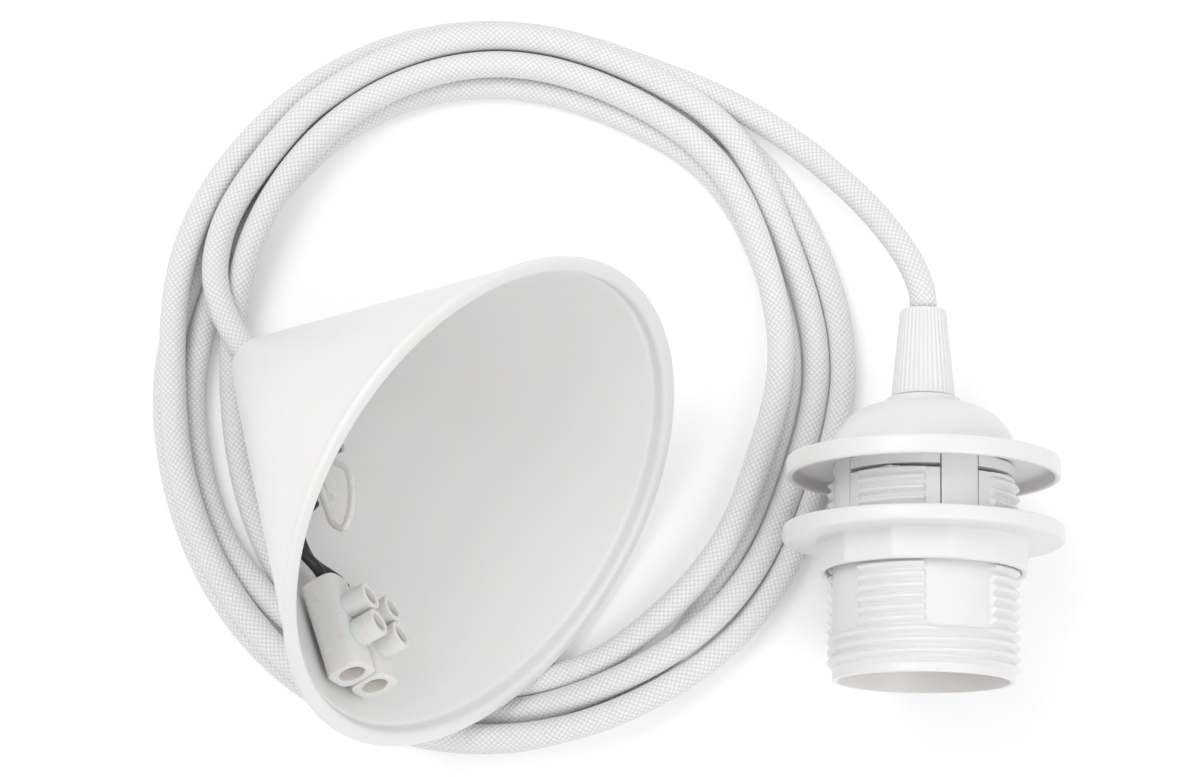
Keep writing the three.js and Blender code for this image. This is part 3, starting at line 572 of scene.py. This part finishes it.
def ribbed_cone(columns=GRIP_RIBS * 8):
    """Radius = profile radius less depth x fade x (1 - |cos(n a / 2)|), n ribs at the angle a."""
    outline = rounded([
        [BORE, 0], [GRIP_TOP, 0], [GRIP_FOOT, GRIP_LENGTH], [STEM_ROOM, GRIP_LENGTH],
        [STEM_ROOM, STEM_TOP - 0.6], [BORE, STEM_TOP - 0.6],
    ], 0.55, 6)
    outline = dense(outline, 0.7)
    grid = revolve(outline, columns)
    radius, height = outline.T
    outside = radius > np.interp(height, [0, GRIP_LENGTH], [GRIP_TOP, GRIP_FOOT]) - 0.25
    fade = np.clip(height / 1.1, 0, 1) * np.clip((GRIP_LENGTH - height) / 0.9, 0, 1) * outside
    angle = np.linspace(0, 2 * np.pi, columns, endpoint=False)
    valley = 1 - np.abs(np.cos(GRIP_RIBS * angle / 2)) ** 0.8
    scale = 1 - RIB_DEPTH * fade[:, None] * valley / radius[:, None]
    grid[..., :2] *= scale[..., None]
    return grid


def dense(outline, step):
    """The closed outline with points added so that none are further apart than the step."""
    points = []
    for start, end in zip(outline, np.roll(outline, -1, axis=0)):
        count = max(1, int(np.ceil(np.linalg.norm(end - start) / step)))
        points.append(start + (end - start) * np.arange(count)[:, None] / count)
    return np.vstack(points)


piece("cord-grip", grid_mesh("cord-grip", on_holder(ribbed_cone()), closed_rows=True),
      white_plastic, replaces=("cord_grip",))

# %% [markdown]
# ## The holder's cap
# A dome that runs out into a flange with a turned-down rim, turned as one closed profile. Its
# four legs are small curved plates that reach down into the skirt and lock it.

# %% Holder cap
NECK_TOP = 18.7
FLANGE_TOP = 31.4
FLANGE_RIM = 35.3
FLANGE_RADIUS = 27.9
DOME = (7.7, 19.1, 11.2)  # neck radius, foot radius, rise
CAP_WALL = 1.4
SKIRT_OUT, SKIRT_IN = 18.4, 17.3
LEG_START, LEG_END = 32.1, 53.0
LEG_TURNS = 18 + 90 * np.arange(4)
LEG_ANGLE = 24.6


def dome_arc(inset, steps=28):
    """A quarter of an ellipse: radius r0 + (r1 - r0) sin a, height top - rise cos a."""
    low, high, rise = DOME
    a = np.linspace(0, np.pi / 2, steps)
    radius = low - inset + (high - low) * np.sin(a)
    return np.stack([radius, FLANGE_TOP + inset - rise * np.cos(a)], axis=1)


def cap_outline():
    """The closed profile: stem, neck, dome, rim of the flange, and back along the inside."""
    corners = [[BORE, STEM_TOP], [STEM_RADIUS, STEM_TOP], [STEM_RADIUS, NECK_TOP],
               [DOME[0], NECK_TOP]]
    inner = FLANGE_RADIUS - CAP_WALL
    rim = [[FLANGE_RADIUS, FLANGE_TOP], [FLANGE_RADIUS, FLANGE_RIM], [inner, FLANGE_RIM],
           [inner, FLANGE_TOP + CAP_WALL]]
    under = [[BORE, FLANGE_TOP + CAP_WALL - DOME[2]]]
    return rounded(np.vstack([corners, dome_arc(0), rim, dome_arc(CAP_WALL)[::-1], under]), 0.6, 5)


def curved_plate(inner, outer, low, high, turn, angle, columns=24):
    """A plate between two radii and two heights, bent about +Z; its ends are a tenth smaller."""
    section = rounded([[inner, low], [outer, low], [outer, high], [inner, high]], 0.25, 4)
    a = np.radians(90 - turn + np.linspace(-angle / 2, angle / 2, columns))
    shrink = np.ones(columns)
    shrink[[0, -1]] = 0.9
    middle = section.mean(axis=0)
    shaped = middle + (section - middle) * shrink[:, None, None]
    radius, height = shaped[..., 0], shaped[..., 1]
    return np.stack([radius * np.cos(a)[:, None], radius * np.sin(a)[:, None], height], axis=-1)


def joined_mesh(name, meshes):
    """One mesh of several, each kept as a shell of its own."""
    points, faces, count = [], [], 0
    for mesh in meshes:
        if signed_volume(mesh) < 0:
            mesh.flip_normals()
        own = np.empty(3 * len(mesh.vertices))
        mesh.vertices.foreach_get("co", own)
        points.append(own.reshape(-1, 3))
        faces += [[corner + count for corner in face.vertices] for face in mesh.polygons]
        count += len(mesh.vertices)
        bpy.data.meshes.remove(mesh)
    whole = bpy.data.meshes.new(name)
    whole.from_pydata(np.vstack(points).tolist(), [], faces)
    whole.polygons.foreach_set("use_smooth", [True] * len(whole.polygons))
    whole.update()
    return whole


def soft_edges(item, degrees):
    """Keeps edges sharper than the angle crisp in the shading."""
    item.data.set_sharp_from_angle(angle=np.radians(degrees))


cap_shell = grid_mesh("cap", on_holder(revolve(cap_outline(), 192)), closed_rows=True)
plates = [curved_plate(SKIRT_IN, SKIRT_OUT - 0.1, LEG_START, LEG_END, turn, LEG_ANGLE)
          for turn in LEG_TURNS]
legs = [grid_mesh("leg", on_holder(plate), caps=True) for plate in plates]
cap = piece("holder-cap", joined_mesh("holder-cap", [cap_shell, *legs]),
            white_plastic, replaces=("holder_cap",))
soft_edges(cap, 50)

# %% [markdown]
# ## The threaded skirt
# The shade ring runs on a coarse thread that four smooth panels interrupt. All of it is one
# height field over angle and height: the thread's wave, a mask that flattens it inside rounded
# panels, a shallow bed for each leg and a deep narrow slit at the top of each threaded part.

# %% Threaded skirt
SKIRT_START, SKIRT_END = 33.1, 76.9
THREAD_START, THREAD_END = 36.0, 75.2
THREAD_PITCH, THREAD_HEIGHT = 2.16, 1.05
PANEL_TURNS = 18 + 90 * np.arange(4)
PANEL_HALF = np.radians(23)
PANEL_END = 68.1
PANEL_CORNER, PANEL_SINK = 2.4, 0.15
LEG_HALF = np.radians(LEG_ANGLE / 2)
BED_GAP = 0.3
SLIT_LOW, SLIT_HIGH = 35.35, 36.25
SLIT_REACH = np.radians(33)
SLIT_BOTTOM = 14.5


def soft_step(x):
    """0 below 0, 1 above 1, 3x2 - 2x3 between."""
    x = np.clip(x, 0, 1)
    return x * x * (3 - 2 * x)


def from_middle(angle, turns):
    """Signed angle to the nearest of the middles; a turn goes from +Y towards +X."""
    middles = np.pi / 2 - np.radians(turns)
    away = (angle[..., None] - middles + np.pi) % (2 * np.pi) - np.pi
    return np.take_along_axis(away, np.abs(away).argmin(-1)[..., None], -1)[..., 0]


def skirt_radius(angle, height):
    """Root + thread wave x masks, less the panels' sink, the legs' beds and the tapering slits."""
    share = ((height - THREAD_START) / THREAD_PITCH - (angle + np.pi / 2) / (2 * np.pi)) % 1
    wave = soft_step(1.15 * (1 - np.abs(2 * share - 1)))
    ends = soft_step((height - THREAD_START + 0.2) / 0.9) * soft_step((THREAD_END - height) / 0.9)
    across = np.abs(from_middle(angle, PANEL_TURNS)) * SKIRT_OUT - PANEL_HALF * SKIRT_OUT
    down = height - PANEL_END
    outside = (np.hypot(np.maximum(across + PANEL_CORNER, 0), np.maximum(down + PANEL_CORNER, 0))
               + np.minimum(np.maximum(across, down) + PANEL_CORNER, 0) - PANEL_CORNER)
    threaded = soft_step(outside / 0.45 + 0.5)
    radius = SKIRT_OUT - PANEL_SINK * (1 - threaded) + THREAD_HEIGHT * wave * ends * threaded
    from_leg = np.abs(from_middle(angle, LEG_TURNS))
    bed = from_leg * SKIRT_OUT - LEG_HALF * SKIRT_OUT - BED_GAP
    in_bed = np.maximum(bed, height - LEG_END - BED_GAP) < 0
    radius = np.where(in_bed, SKIRT_IN - 0.1, radius)
    beyond = from_leg - LEG_HALF
    share = np.clip(beyond / SLIT_REACH, 0, 1)
    top = SLIT_LOW + (SLIT_HIGH - SLIT_LOW) * np.sqrt(1 - share ** 2)
    slit = (beyond > 0) & (share < 1) & (height > SLIT_LOW) & (height < top)
    return np.where(slit, SLIT_BOTTOM, radius)


def with_edges(values, edges, gap):
    """The values with a close pair added on both sides of each edge."""
    edges = np.asarray(edges)
    return np.unique(np.concatenate([values, edges - gap, edges + gap]).round(6))


def skirt_grid():
    """The height field outside, then the end, the ledge and the pocket's inner wall inside."""
    angles = np.linspace(0, 2 * np.pi, 336, endpoint=False)
    leg_edge = LEG_HALF + BED_GAP / SKIRT_OUT
    middles = np.pi / 2 - np.radians(LEG_TURNS)
    edges = np.concatenate([middles - leg_edge, middles + leg_edge])
    angles = with_edges(angles, np.mod(edges, 2 * np.pi), 0.0015)
    heights = with_edges(np.arange(SKIRT_START, SKIRT_END - 0.3, 0.3),
                         [LEG_END + BED_GAP, SLIT_LOW], 0.03)
    heights = np.unique(np.append(heights, np.linspace(SLIT_LOW, SLIT_HIGH, 9)).round(6))
    angle, height = np.meshgrid(angles, heights)
    radius = skirt_radius(angle, height)
    inner = np.array([
        [SKIRT_OUT, SKIRT_END - 0.25], [SKIRT_OUT - 0.1, SKIRT_END - 0.07],
        [SKIRT_OUT - 0.3, SKIRT_END], [SKIRT_IN + 0.3, SKIRT_END],
        [SKIRT_IN + 0.1, SKIRT_END - 0.07], [SKIRT_IN, SKIRT_END - 0.3],
        [SKIRT_IN, 51.3], [SKIRT_IN - 0.1, 51.2], [15.5, 51.2], [15.4, 51.1], [15.4, 50.1],
        [15.5, 50], [17.0, 50], [17.1, 49.9], [17.1, 38], [14, 37], [14, 34.4],
        [17.1, SKIRT_START],
    ])
    radius = np.vstack([radius, np.repeat(inner[:, :1], len(angles), axis=1)])
    height = np.vstack([height, np.repeat(inner[:, 1:], len(angles), axis=1)])
    angle = np.broadcast_to(angles, radius.shape)
    return np.stack([radius * np.cos(angle), radius * np.sin(angle), height], axis=-1)


skirt = piece("holder-skirt", grid_mesh("holder-skirt", on_holder(skirt_grid()), closed_rows=True),
              white_plastic, replaces=("holder_skirt",))
soft_edges(skirt, 40)

# %% [markdown]
# ## The shade ring
# A flat disc with a twelve-sided collar to turn it by. Each row of the grid has a share of the
# twelve-sided form, so that the round disc and bore pass into the collar's flats.

# %% Shade ring
RING_AT = 45.3
RING_BORE = 19.75
RING_THICKNESS = 3.3
RING_EDGE = 0.7  # radius of the disc's rounded edge
EDGE_MIDDLE = 27.86
COLLAR_SIDES = 12
COLLAR_TURN = np.radians(82)
BLUNT_CORNER = 0.996
COLLAR_RADIUS = 21.7
COLLAR_TOP = 54.9


def twelve_sided(angle):
    """Radius of a twelve-sided outline: cos(15 degrees) / cos(angle to the flat's middle)."""
    side = 2 * np.pi / COLLAR_SIDES
    to_corner = (angle - COLLAR_TURN + side / 2) % side - side / 2
    flat = np.cos(side / 2) / np.cos(np.abs(np.abs(to_corner) - side / 2))
    return np.minimum(flat, BLUNT_CORNER)


def ring_grid(columns=360):
    """Rows of [radius, height, share of the twelve-sided form], from the bore round to it."""
    disc_top = RING_AT + RING_THICKNESS
    rows = [[RING_BORE, RING_AT + 0.4, 0], [RING_BORE + 0.15, RING_AT + 0.1, 0],
            [RING_BORE + 0.5, RING_AT, 0]]
    for a in np.linspace(0, np.pi / 2, 5):
        rows += [[EDGE_MIDDLE + RING_EDGE * np.sin(a),
                  RING_AT + RING_EDGE - RING_EDGE * np.cos(a), 0]]
    for a in np.linspace(0, np.pi / 2, 5):
        rows += [[EDGE_MIDDLE + RING_EDGE * np.cos(a),
                  disc_top - RING_EDGE + RING_EDGE * np.sin(a), 0]]
    rows += [[23.2, disc_top, 0.6], [22.25, disc_top, 1], [21.95, disc_top + 0.08, 1],
             [21.77, disc_top + 0.3, 1], [COLLAR_RADIUS, disc_top + 0.7, 1],
             [COLLAR_RADIUS, COLLAR_TOP - 0.55, 1], [21.62, COLLAR_TOP - 0.25, 1],
             [21.42, COLLAR_TOP - 0.07, 1], [21.15, COLLAR_TOP, 1], [20.25, COLLAR_TOP, 0],
             [19.9, COLLAR_TOP - 0.1, 0], [RING_BORE, COLLAR_TOP - 0.35, 0]]
    radius, height, share = np.transpose(rows)
    angle = np.linspace(0, 2 * np.pi, columns, endpoint=False)
    radius = radius[:, None] * (1 + share[:, None] * (twelve_sided(angle) - 1))
    height = np.broadcast_to(height[:, None], radius.shape)
    return np.stack([radius * np.cos(angle), radius * np.sin(angle), height], axis=-1)


piece("shade-ring", grid_mesh("shade-ring", on_holder(ring_grid()), closed_rows=True),
      white_plastic, body=RING, replaces=("shade_ring",))

# %% [markdown]
# ## Inside the socket
# Seen from the mouth: a ceramic block with the centre spring, and the rolled brass shell whose
# wave climbs one pitch in a turn, so that a lamp can be screwed in.

# %% Lamp thread and contact block
SHELL_START, SHELL_END = 50, 68
SHELL_RADIUS, SHELL_WALL = 14.1, 0.5
SHELL_PITCH, SHELL_WAVE = 3.6, 0.8


def lamp_thread_grid(columns=160):
    """Shell radius less a wave that climbs one pitch a turn, then back inside the wall."""
    heights = np.arange(SHELL_START, SHELL_END + 0.01, SHELL_PITCH / 12)
    angle, height = np.meshgrid(np.linspace(0, 2 * np.pi, columns, endpoint=False), heights)
    fade = soft_step((height - SHELL_START) / 1.5) * soft_step((SHELL_END - height) / 1.5)
    wave = 0.5 - 0.5 * np.cos(2 * np.pi * (height / SHELL_PITCH) - angle)
    radius = SHELL_RADIUS - SHELL_WAVE * wave * fade
    radius = np.vstack([radius, radius[::-1] - SHELL_WALL])
    height = np.vstack([height, height[::-1]])
    angle = np.vstack([angle, angle])
    return np.stack([radius * np.cos(angle), radius * np.sin(angle), height], axis=-1)


shell_mesh = grid_mesh("lamp-thread", on_holder(lamp_thread_grid()), closed_rows=True)
soft_edges(piece("lamp-thread", shell_mesh, brass, replaces=("lamp_thread",)), 50)
block_outline = rounded([
    [0.01, 38.4], [7, 38.4], [7, 41], [17, 41], [17, 49.7], [0.01, 49.7],
], 0.5, 4)
block_mesh = grid_mesh("contact-block", on_holder(revolve(block_outline, 96)), closed_rows=True)
piece("contact-block", block_mesh, ceramic, replaces=("contact_block",))

# %% [markdown]
# ## The ceiling cup
# A thin cone with a thick rounded rim and a small step inside it. One closed profile turned
# with many columns keeps its big outline clean.

# %% Ceiling cup
CUP_SLANT = 33.35  # degrees between the cup's wall and its axis
CUP_RADIUS = 53.1
CUP_WALL = 2
CUP_HOLE = 4.75
SLOPE = np.tan(np.radians(CUP_SLANT))
CUP_HEIGHT = CUP_RADIUS / SLOPE
INNER_APEX = CUP_WALL / np.sin(np.radians(CUP_SLANT))


def cup_outline():
    """The closed profile: small end, outer wall, rounded rim, step, inner wall."""
    top = CUP_HEIGHT + 0.3
    step = top - 3
    inner = (step - INNER_APEX) * SLOPE
    return rounded([
        [CUP_HOLE, 8], [5.2, 8], [8.6 * SLOPE, 8.6], [(CUP_HEIGHT - 3) * SLOPE, CUP_HEIGHT - 3],
        [52.45, CUP_HEIGHT - 1.35], [CUP_RADIUS, CUP_HEIGHT - 0.7], [52.9, top - 0.32],
        [52.3, top], [50.45, top], [49.75, top - 0.7], [inner + 0.7, step],
        [inner, step - 0.35], [CUP_HOLE, INNER_APEX + CUP_HOLE / SLOPE],
    ], 0.6, 5)


cup_mesh = grid_mesh("ceiling-cup", in_cup(revolve(cup_outline(), 288)), closed_rows=True)
piece("ceiling-cup", cup_mesh, white_plastic, replaces=("ceiling_cup",))

# %% [markdown]
# ## Clamp, loop and terminal block
# The small inner pieces are moulded in natural plastic that lets some light through. Each is an
# outline carried along an axis with its ends drawn in a little, or a short turned tube.

# %% Shapes on the cup's wall
def from_wall(points, turn):
    """From a frame on the cup's wall (+X to the rim, +Z off the wall) to the cup's own."""
    return points @ (turn_z(turn) @ turn_y(CUP_SLANT - 90)).T + (0, 0, INNER_APEX)


def on_wall(points, turn):
    """The same, and on to the set's frame in metres."""
    return in_cup(from_wall(points, turn))


def prism(outline, start, end, edge=0.3):
    """The outline [y, z] carried from x = start to x = end; both ends are drawn in by the edge."""
    outline = np.asarray(outline)
    ahead = np.roll(outline, -1, axis=0) - np.roll(outline, 1, axis=0)
    length = np.maximum(np.linalg.norm(ahead, axis=1), 1e-9)
    inward = np.stack([-ahead[:, 1], ahead[:, 0]], axis=1) / length[:, None]
    inward *= np.sign((outline * ahead[:, ::-1] * (1, -1)).sum())
    a = np.linspace(0, np.pi / 2, 4)
    draw = edge * (1 - np.sin(a))
    place = edge * (1 - np.cos(a))
    draws = np.concatenate([draw, draw[::-1]])
    places = np.concatenate([start + place, end - place[::-1]])
    rings = outline + draws[:, None, None] * inward
    x = np.broadcast_to(places[:, None], rings.shape[:2])
    return np.concatenate([x[..., None], rings], axis=-1)


def tower(radius, bore, low, high, x, y):
    """A turned tube along z with rounded edges."""
    outline = rounded([[bore, low], [radius, low], [radius, high], [bore, high]], 0.3, 4)
    return revolve(outline, 40) + (x, y, 0)


def barrel(radius, bore, start, end, y, z):
    """A tube along x whose outside is nearly square: |y|^4 + |z|^4 = radius^4."""
    upright = tower(radius, bore, start, end, 0, 0)
    a = np.linspace(0, 2 * np.pi, upright.shape[1], endpoint=False)
    square = (np.cos(a) ** 4 + np.sin(a) ** 4) ** -0.25
    outside = np.clip((np.linalg.norm(upright[..., :2], axis=-1) - bore) / (radius - bore), 0, 1)
    upright[..., :2] *= (1 + outside * (square - 1))[..., None]
    return upright[..., [2, 0, 1]] + (0, y, z)


def flat_loop(line, thickness=1.5, width=1.3, sides=20):
    """A rounded rectangle along the line [x, z]: thickness across its plane, width within it."""
    ahead = np.gradient(line, axis=0)
    ahead /= np.linalg.norm(ahead, axis=1)[:, None]
    across = np.stack([-ahead[:, 1], ahead[:, 0]], axis=1)
    a = np.linspace(0, 2 * np.pi, sides, endpoint=False)
    c, s = np.cos(a), np.sin(a)
    flat = np.sign(c) * np.abs(c) ** 0.45 * thickness / 2
    wide = np.sign(s) * np.abs(s) ** 0.45 * width / 2
    xz = line[:, None] + wide[None, :, None] * across[:, None]
    y = np.broadcast_to(flat, xz.shape[:2])
    return np.stack([xz[..., 0], y, xz[..., 1]], axis=-1)


def inner_piece(name, mesh, node):
    """A piece of natural plastic in place of the node."""
    item = piece(name, mesh, natural_plastic, replaces=(node,))
    soft_edges(item, 40)


# %% [markdown]
# ### Clamp
# A trough under the cord, a bar that is screwed down on it, and a loop to hang the set by. The
# loop lies in line with the cord and reaches up out of the mouth.

# %% Clamp
WALL_TURN = -85.0  # degrees round the cup, for the clamp and the terminal block
CORD_AT = 6.1
CLAMP_HALF = 7.6
TROUGH_TOP = 8.9
BAR_LOW, BAR_HIGH = 9.2, 11.4

outside = rounded([
    [-CLAMP_HALF, TROUGH_TOP], [-CLAMP_HALF, 3], [-5.2, 1.25], [5.2, 1.25],
    [CLAMP_HALF, 3], [CLAMP_HALF, TROUGH_TOP], [BORE, TROUGH_TOP],
], 0.4, 4)[4:-1]
bed = [[BORE * np.cos(a), CORD_AT + BORE * np.sin(a)] for a in np.linspace(0, -np.pi, 17)]
trough = np.vstack([outside, bed, [[-BORE, TROUGH_TOP]]])
# the hanging loop's middle line [x, z], from the trough's end out of the mouth and back
loop_line = smooth_curve(np.array([
    [35.6, 8.2], [36.1, 12.8], [39.6, 15.8], [44.6, 15.3], [49.4, 13.2], [51.3, 11], [49.3, 9.3],
    [45, 9], [40.5, 9], [36.4, 8.2],
]), 8)
clamp_shells = [
    grid_mesh("trough", on_wall(prism(trough, 26, 39.5), WALL_TURN), caps=True),
    grid_mesh("loop", on_wall(flat_loop(loop_line), WALL_TURN), caps=True),
]
inner_piece("clamp-body", joined_mesh("clamp-body", clamp_shells), "clamp_body")
bar_outline = rounded([
    [-CLAMP_HALF, BAR_LOW], [CLAMP_HALF, BAR_LOW], [CLAMP_HALF, BAR_HIGH],
    [-CLAMP_HALF, BAR_HIGH],
], 0.6, 5)
bar_grid = on_wall(prism(bar_outline, 26.3, 32.3), WALL_TURN)
inner_piece("clamp-bar", grid_mesh("clamp-bar", bar_grid, caps=True), "clamp_bar")

# %% [markdown]
# ### Terminal block
# Two nearly square barrels side by side, a web between them and a short tower for each screw.

# %% Terminal block
POLE = 4.3  # each barrel's distance from the middle
SLEEVE_AT = 5.2
SCREW_ROW = (73.9 - 3.1, 73.9 + 3.1)

block_shells = [barrel(4, 2.6, 63.4, 84.4, y, SLEEVE_AT) for y in (-POLE, POLE)]
block_shells += [tower(2.9, 1.8, SLEEVE_AT, 14.2, x, y) for x in SCREW_ROW for y in (-POLE, POLE)]
block_meshes = [grid_mesh("shell", on_wall(shell, WALL_TURN), closed_rows=True)
                for shell in block_shells]
web = rounded([[-7.2, 3.2], [7.2, 3.2], [7.2, 7.2], [-7.2, 7.2]], 0.5, 4)
block_meshes.append(grid_mesh("web", on_wall(prism(web, 68.65, 79.15), WALL_TURN), caps=True))
inner_piece("terminal-block", joined_mesh("terminal-block", block_meshes), "terminal_block")

# %% [markdown]
# ## Conductors
# Two black insulated wires leave the cord at each end. They are tubes along smooth curves, and
# in the cup they dip behind its near rim on their way from the clamp to the terminal block.

# %% Conductors
WIRE = 1.15


def wall_point(turn, x, y, z):
    """One point of the frame on the cup's wall, in the cup's own frame."""
    return from_wall(np.array([x, y, z]), turn)


def conductor(name, points, place, node):
    """A black tube through the points, set down by the place function."""
    line, _ = even_steps(smooth_curve(np.array(points, float)), 0.6)
    mesh = grid_mesh(name, place(tube_grid(line, WIRE, 20)), caps=True)
    piece(name, mesh, black_plastic, replaces=(node,))


for number, sign in enumerate((-1, 1), 1):
    side = sign * 1.45
    conductor(f"cup-wire-{number}", [
        wall_point(WALL_TURN, 41.5, side, CORD_AT),
        wall_point(WALL_TURN - 6, 44, side, CORD_AT - 2),
        wall_point(-100, 49, sign * 2, 3.2), wall_point(-97, 56, sign * 2.4, 3.4),
        wall_point(WALL_TURN, 60.4, sign * POLE, SLEEVE_AT),
        wall_point(WALL_TURN, 65.6, sign * POLE, SLEEVE_AT),
    ], in_cup, f"cup_wire_{number}")
    conductor(f"holder-wire-{number}", [
        [side, 0, 24.3], [side, 0, 27], [sign * 9.2, 0, 31.2], [sign * 11.5, 0, 38.3],
    ], on_holder, f"holder_wire_{number}")

# %% [markdown]
# ## Table
# A plain pale table top, far larger than the set, so that its edge never shows. It gives off a
# little light of its own, which keeps it as white as in the photograph.

# %% Table
TABLE_HALF = 3.0  # metres
table_material, table_surface = moulded(
    "table", (0.95, 0.95, 0.95), (0.97, 0.97, 0.97), gloss=(0.55, 0.7), grain=(300.0, 0.00005))
table_surface.inputs["Emission Color"].default_value = (1.0, 1.0, 1.0, 1)
table_surface.inputs["Emission Strength"].default_value = 0.1
top = np.array([[[x, y, 0] for x in (-TABLE_HALF, TABLE_HALF)] for y in (-TABLE_HALF, TABLE_HALF)])
table = bpy.data.objects.new("table", grid_mesh("table", top, closed_columns=False))
bpy.context.scene.collection.objects.link(table)
table.data.materials.append(table_material)

# %% [markdown]
# ## The solid model's own small pieces
# Screws, sleeves and the centre spring keep their solids and only get their finish.

# %% Finishes for the kept solids
KEPT = [
    (brass, ["centre_contact", "holder_screw_1", "holder_screw_2",
             "terminal_sleeve_1", "terminal_sleeve_2"]),
    (steel, ["clamp_screw_1", "clamp_screw_2", *(f"terminal_screw_{i}" for i in range(1, 5))]),
]
for finish, names in KEPT:
    for name in names:
        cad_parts[name].material_slots[0].material = finish
print("kept solids:", sum(len(names) for _, names in KEPT))
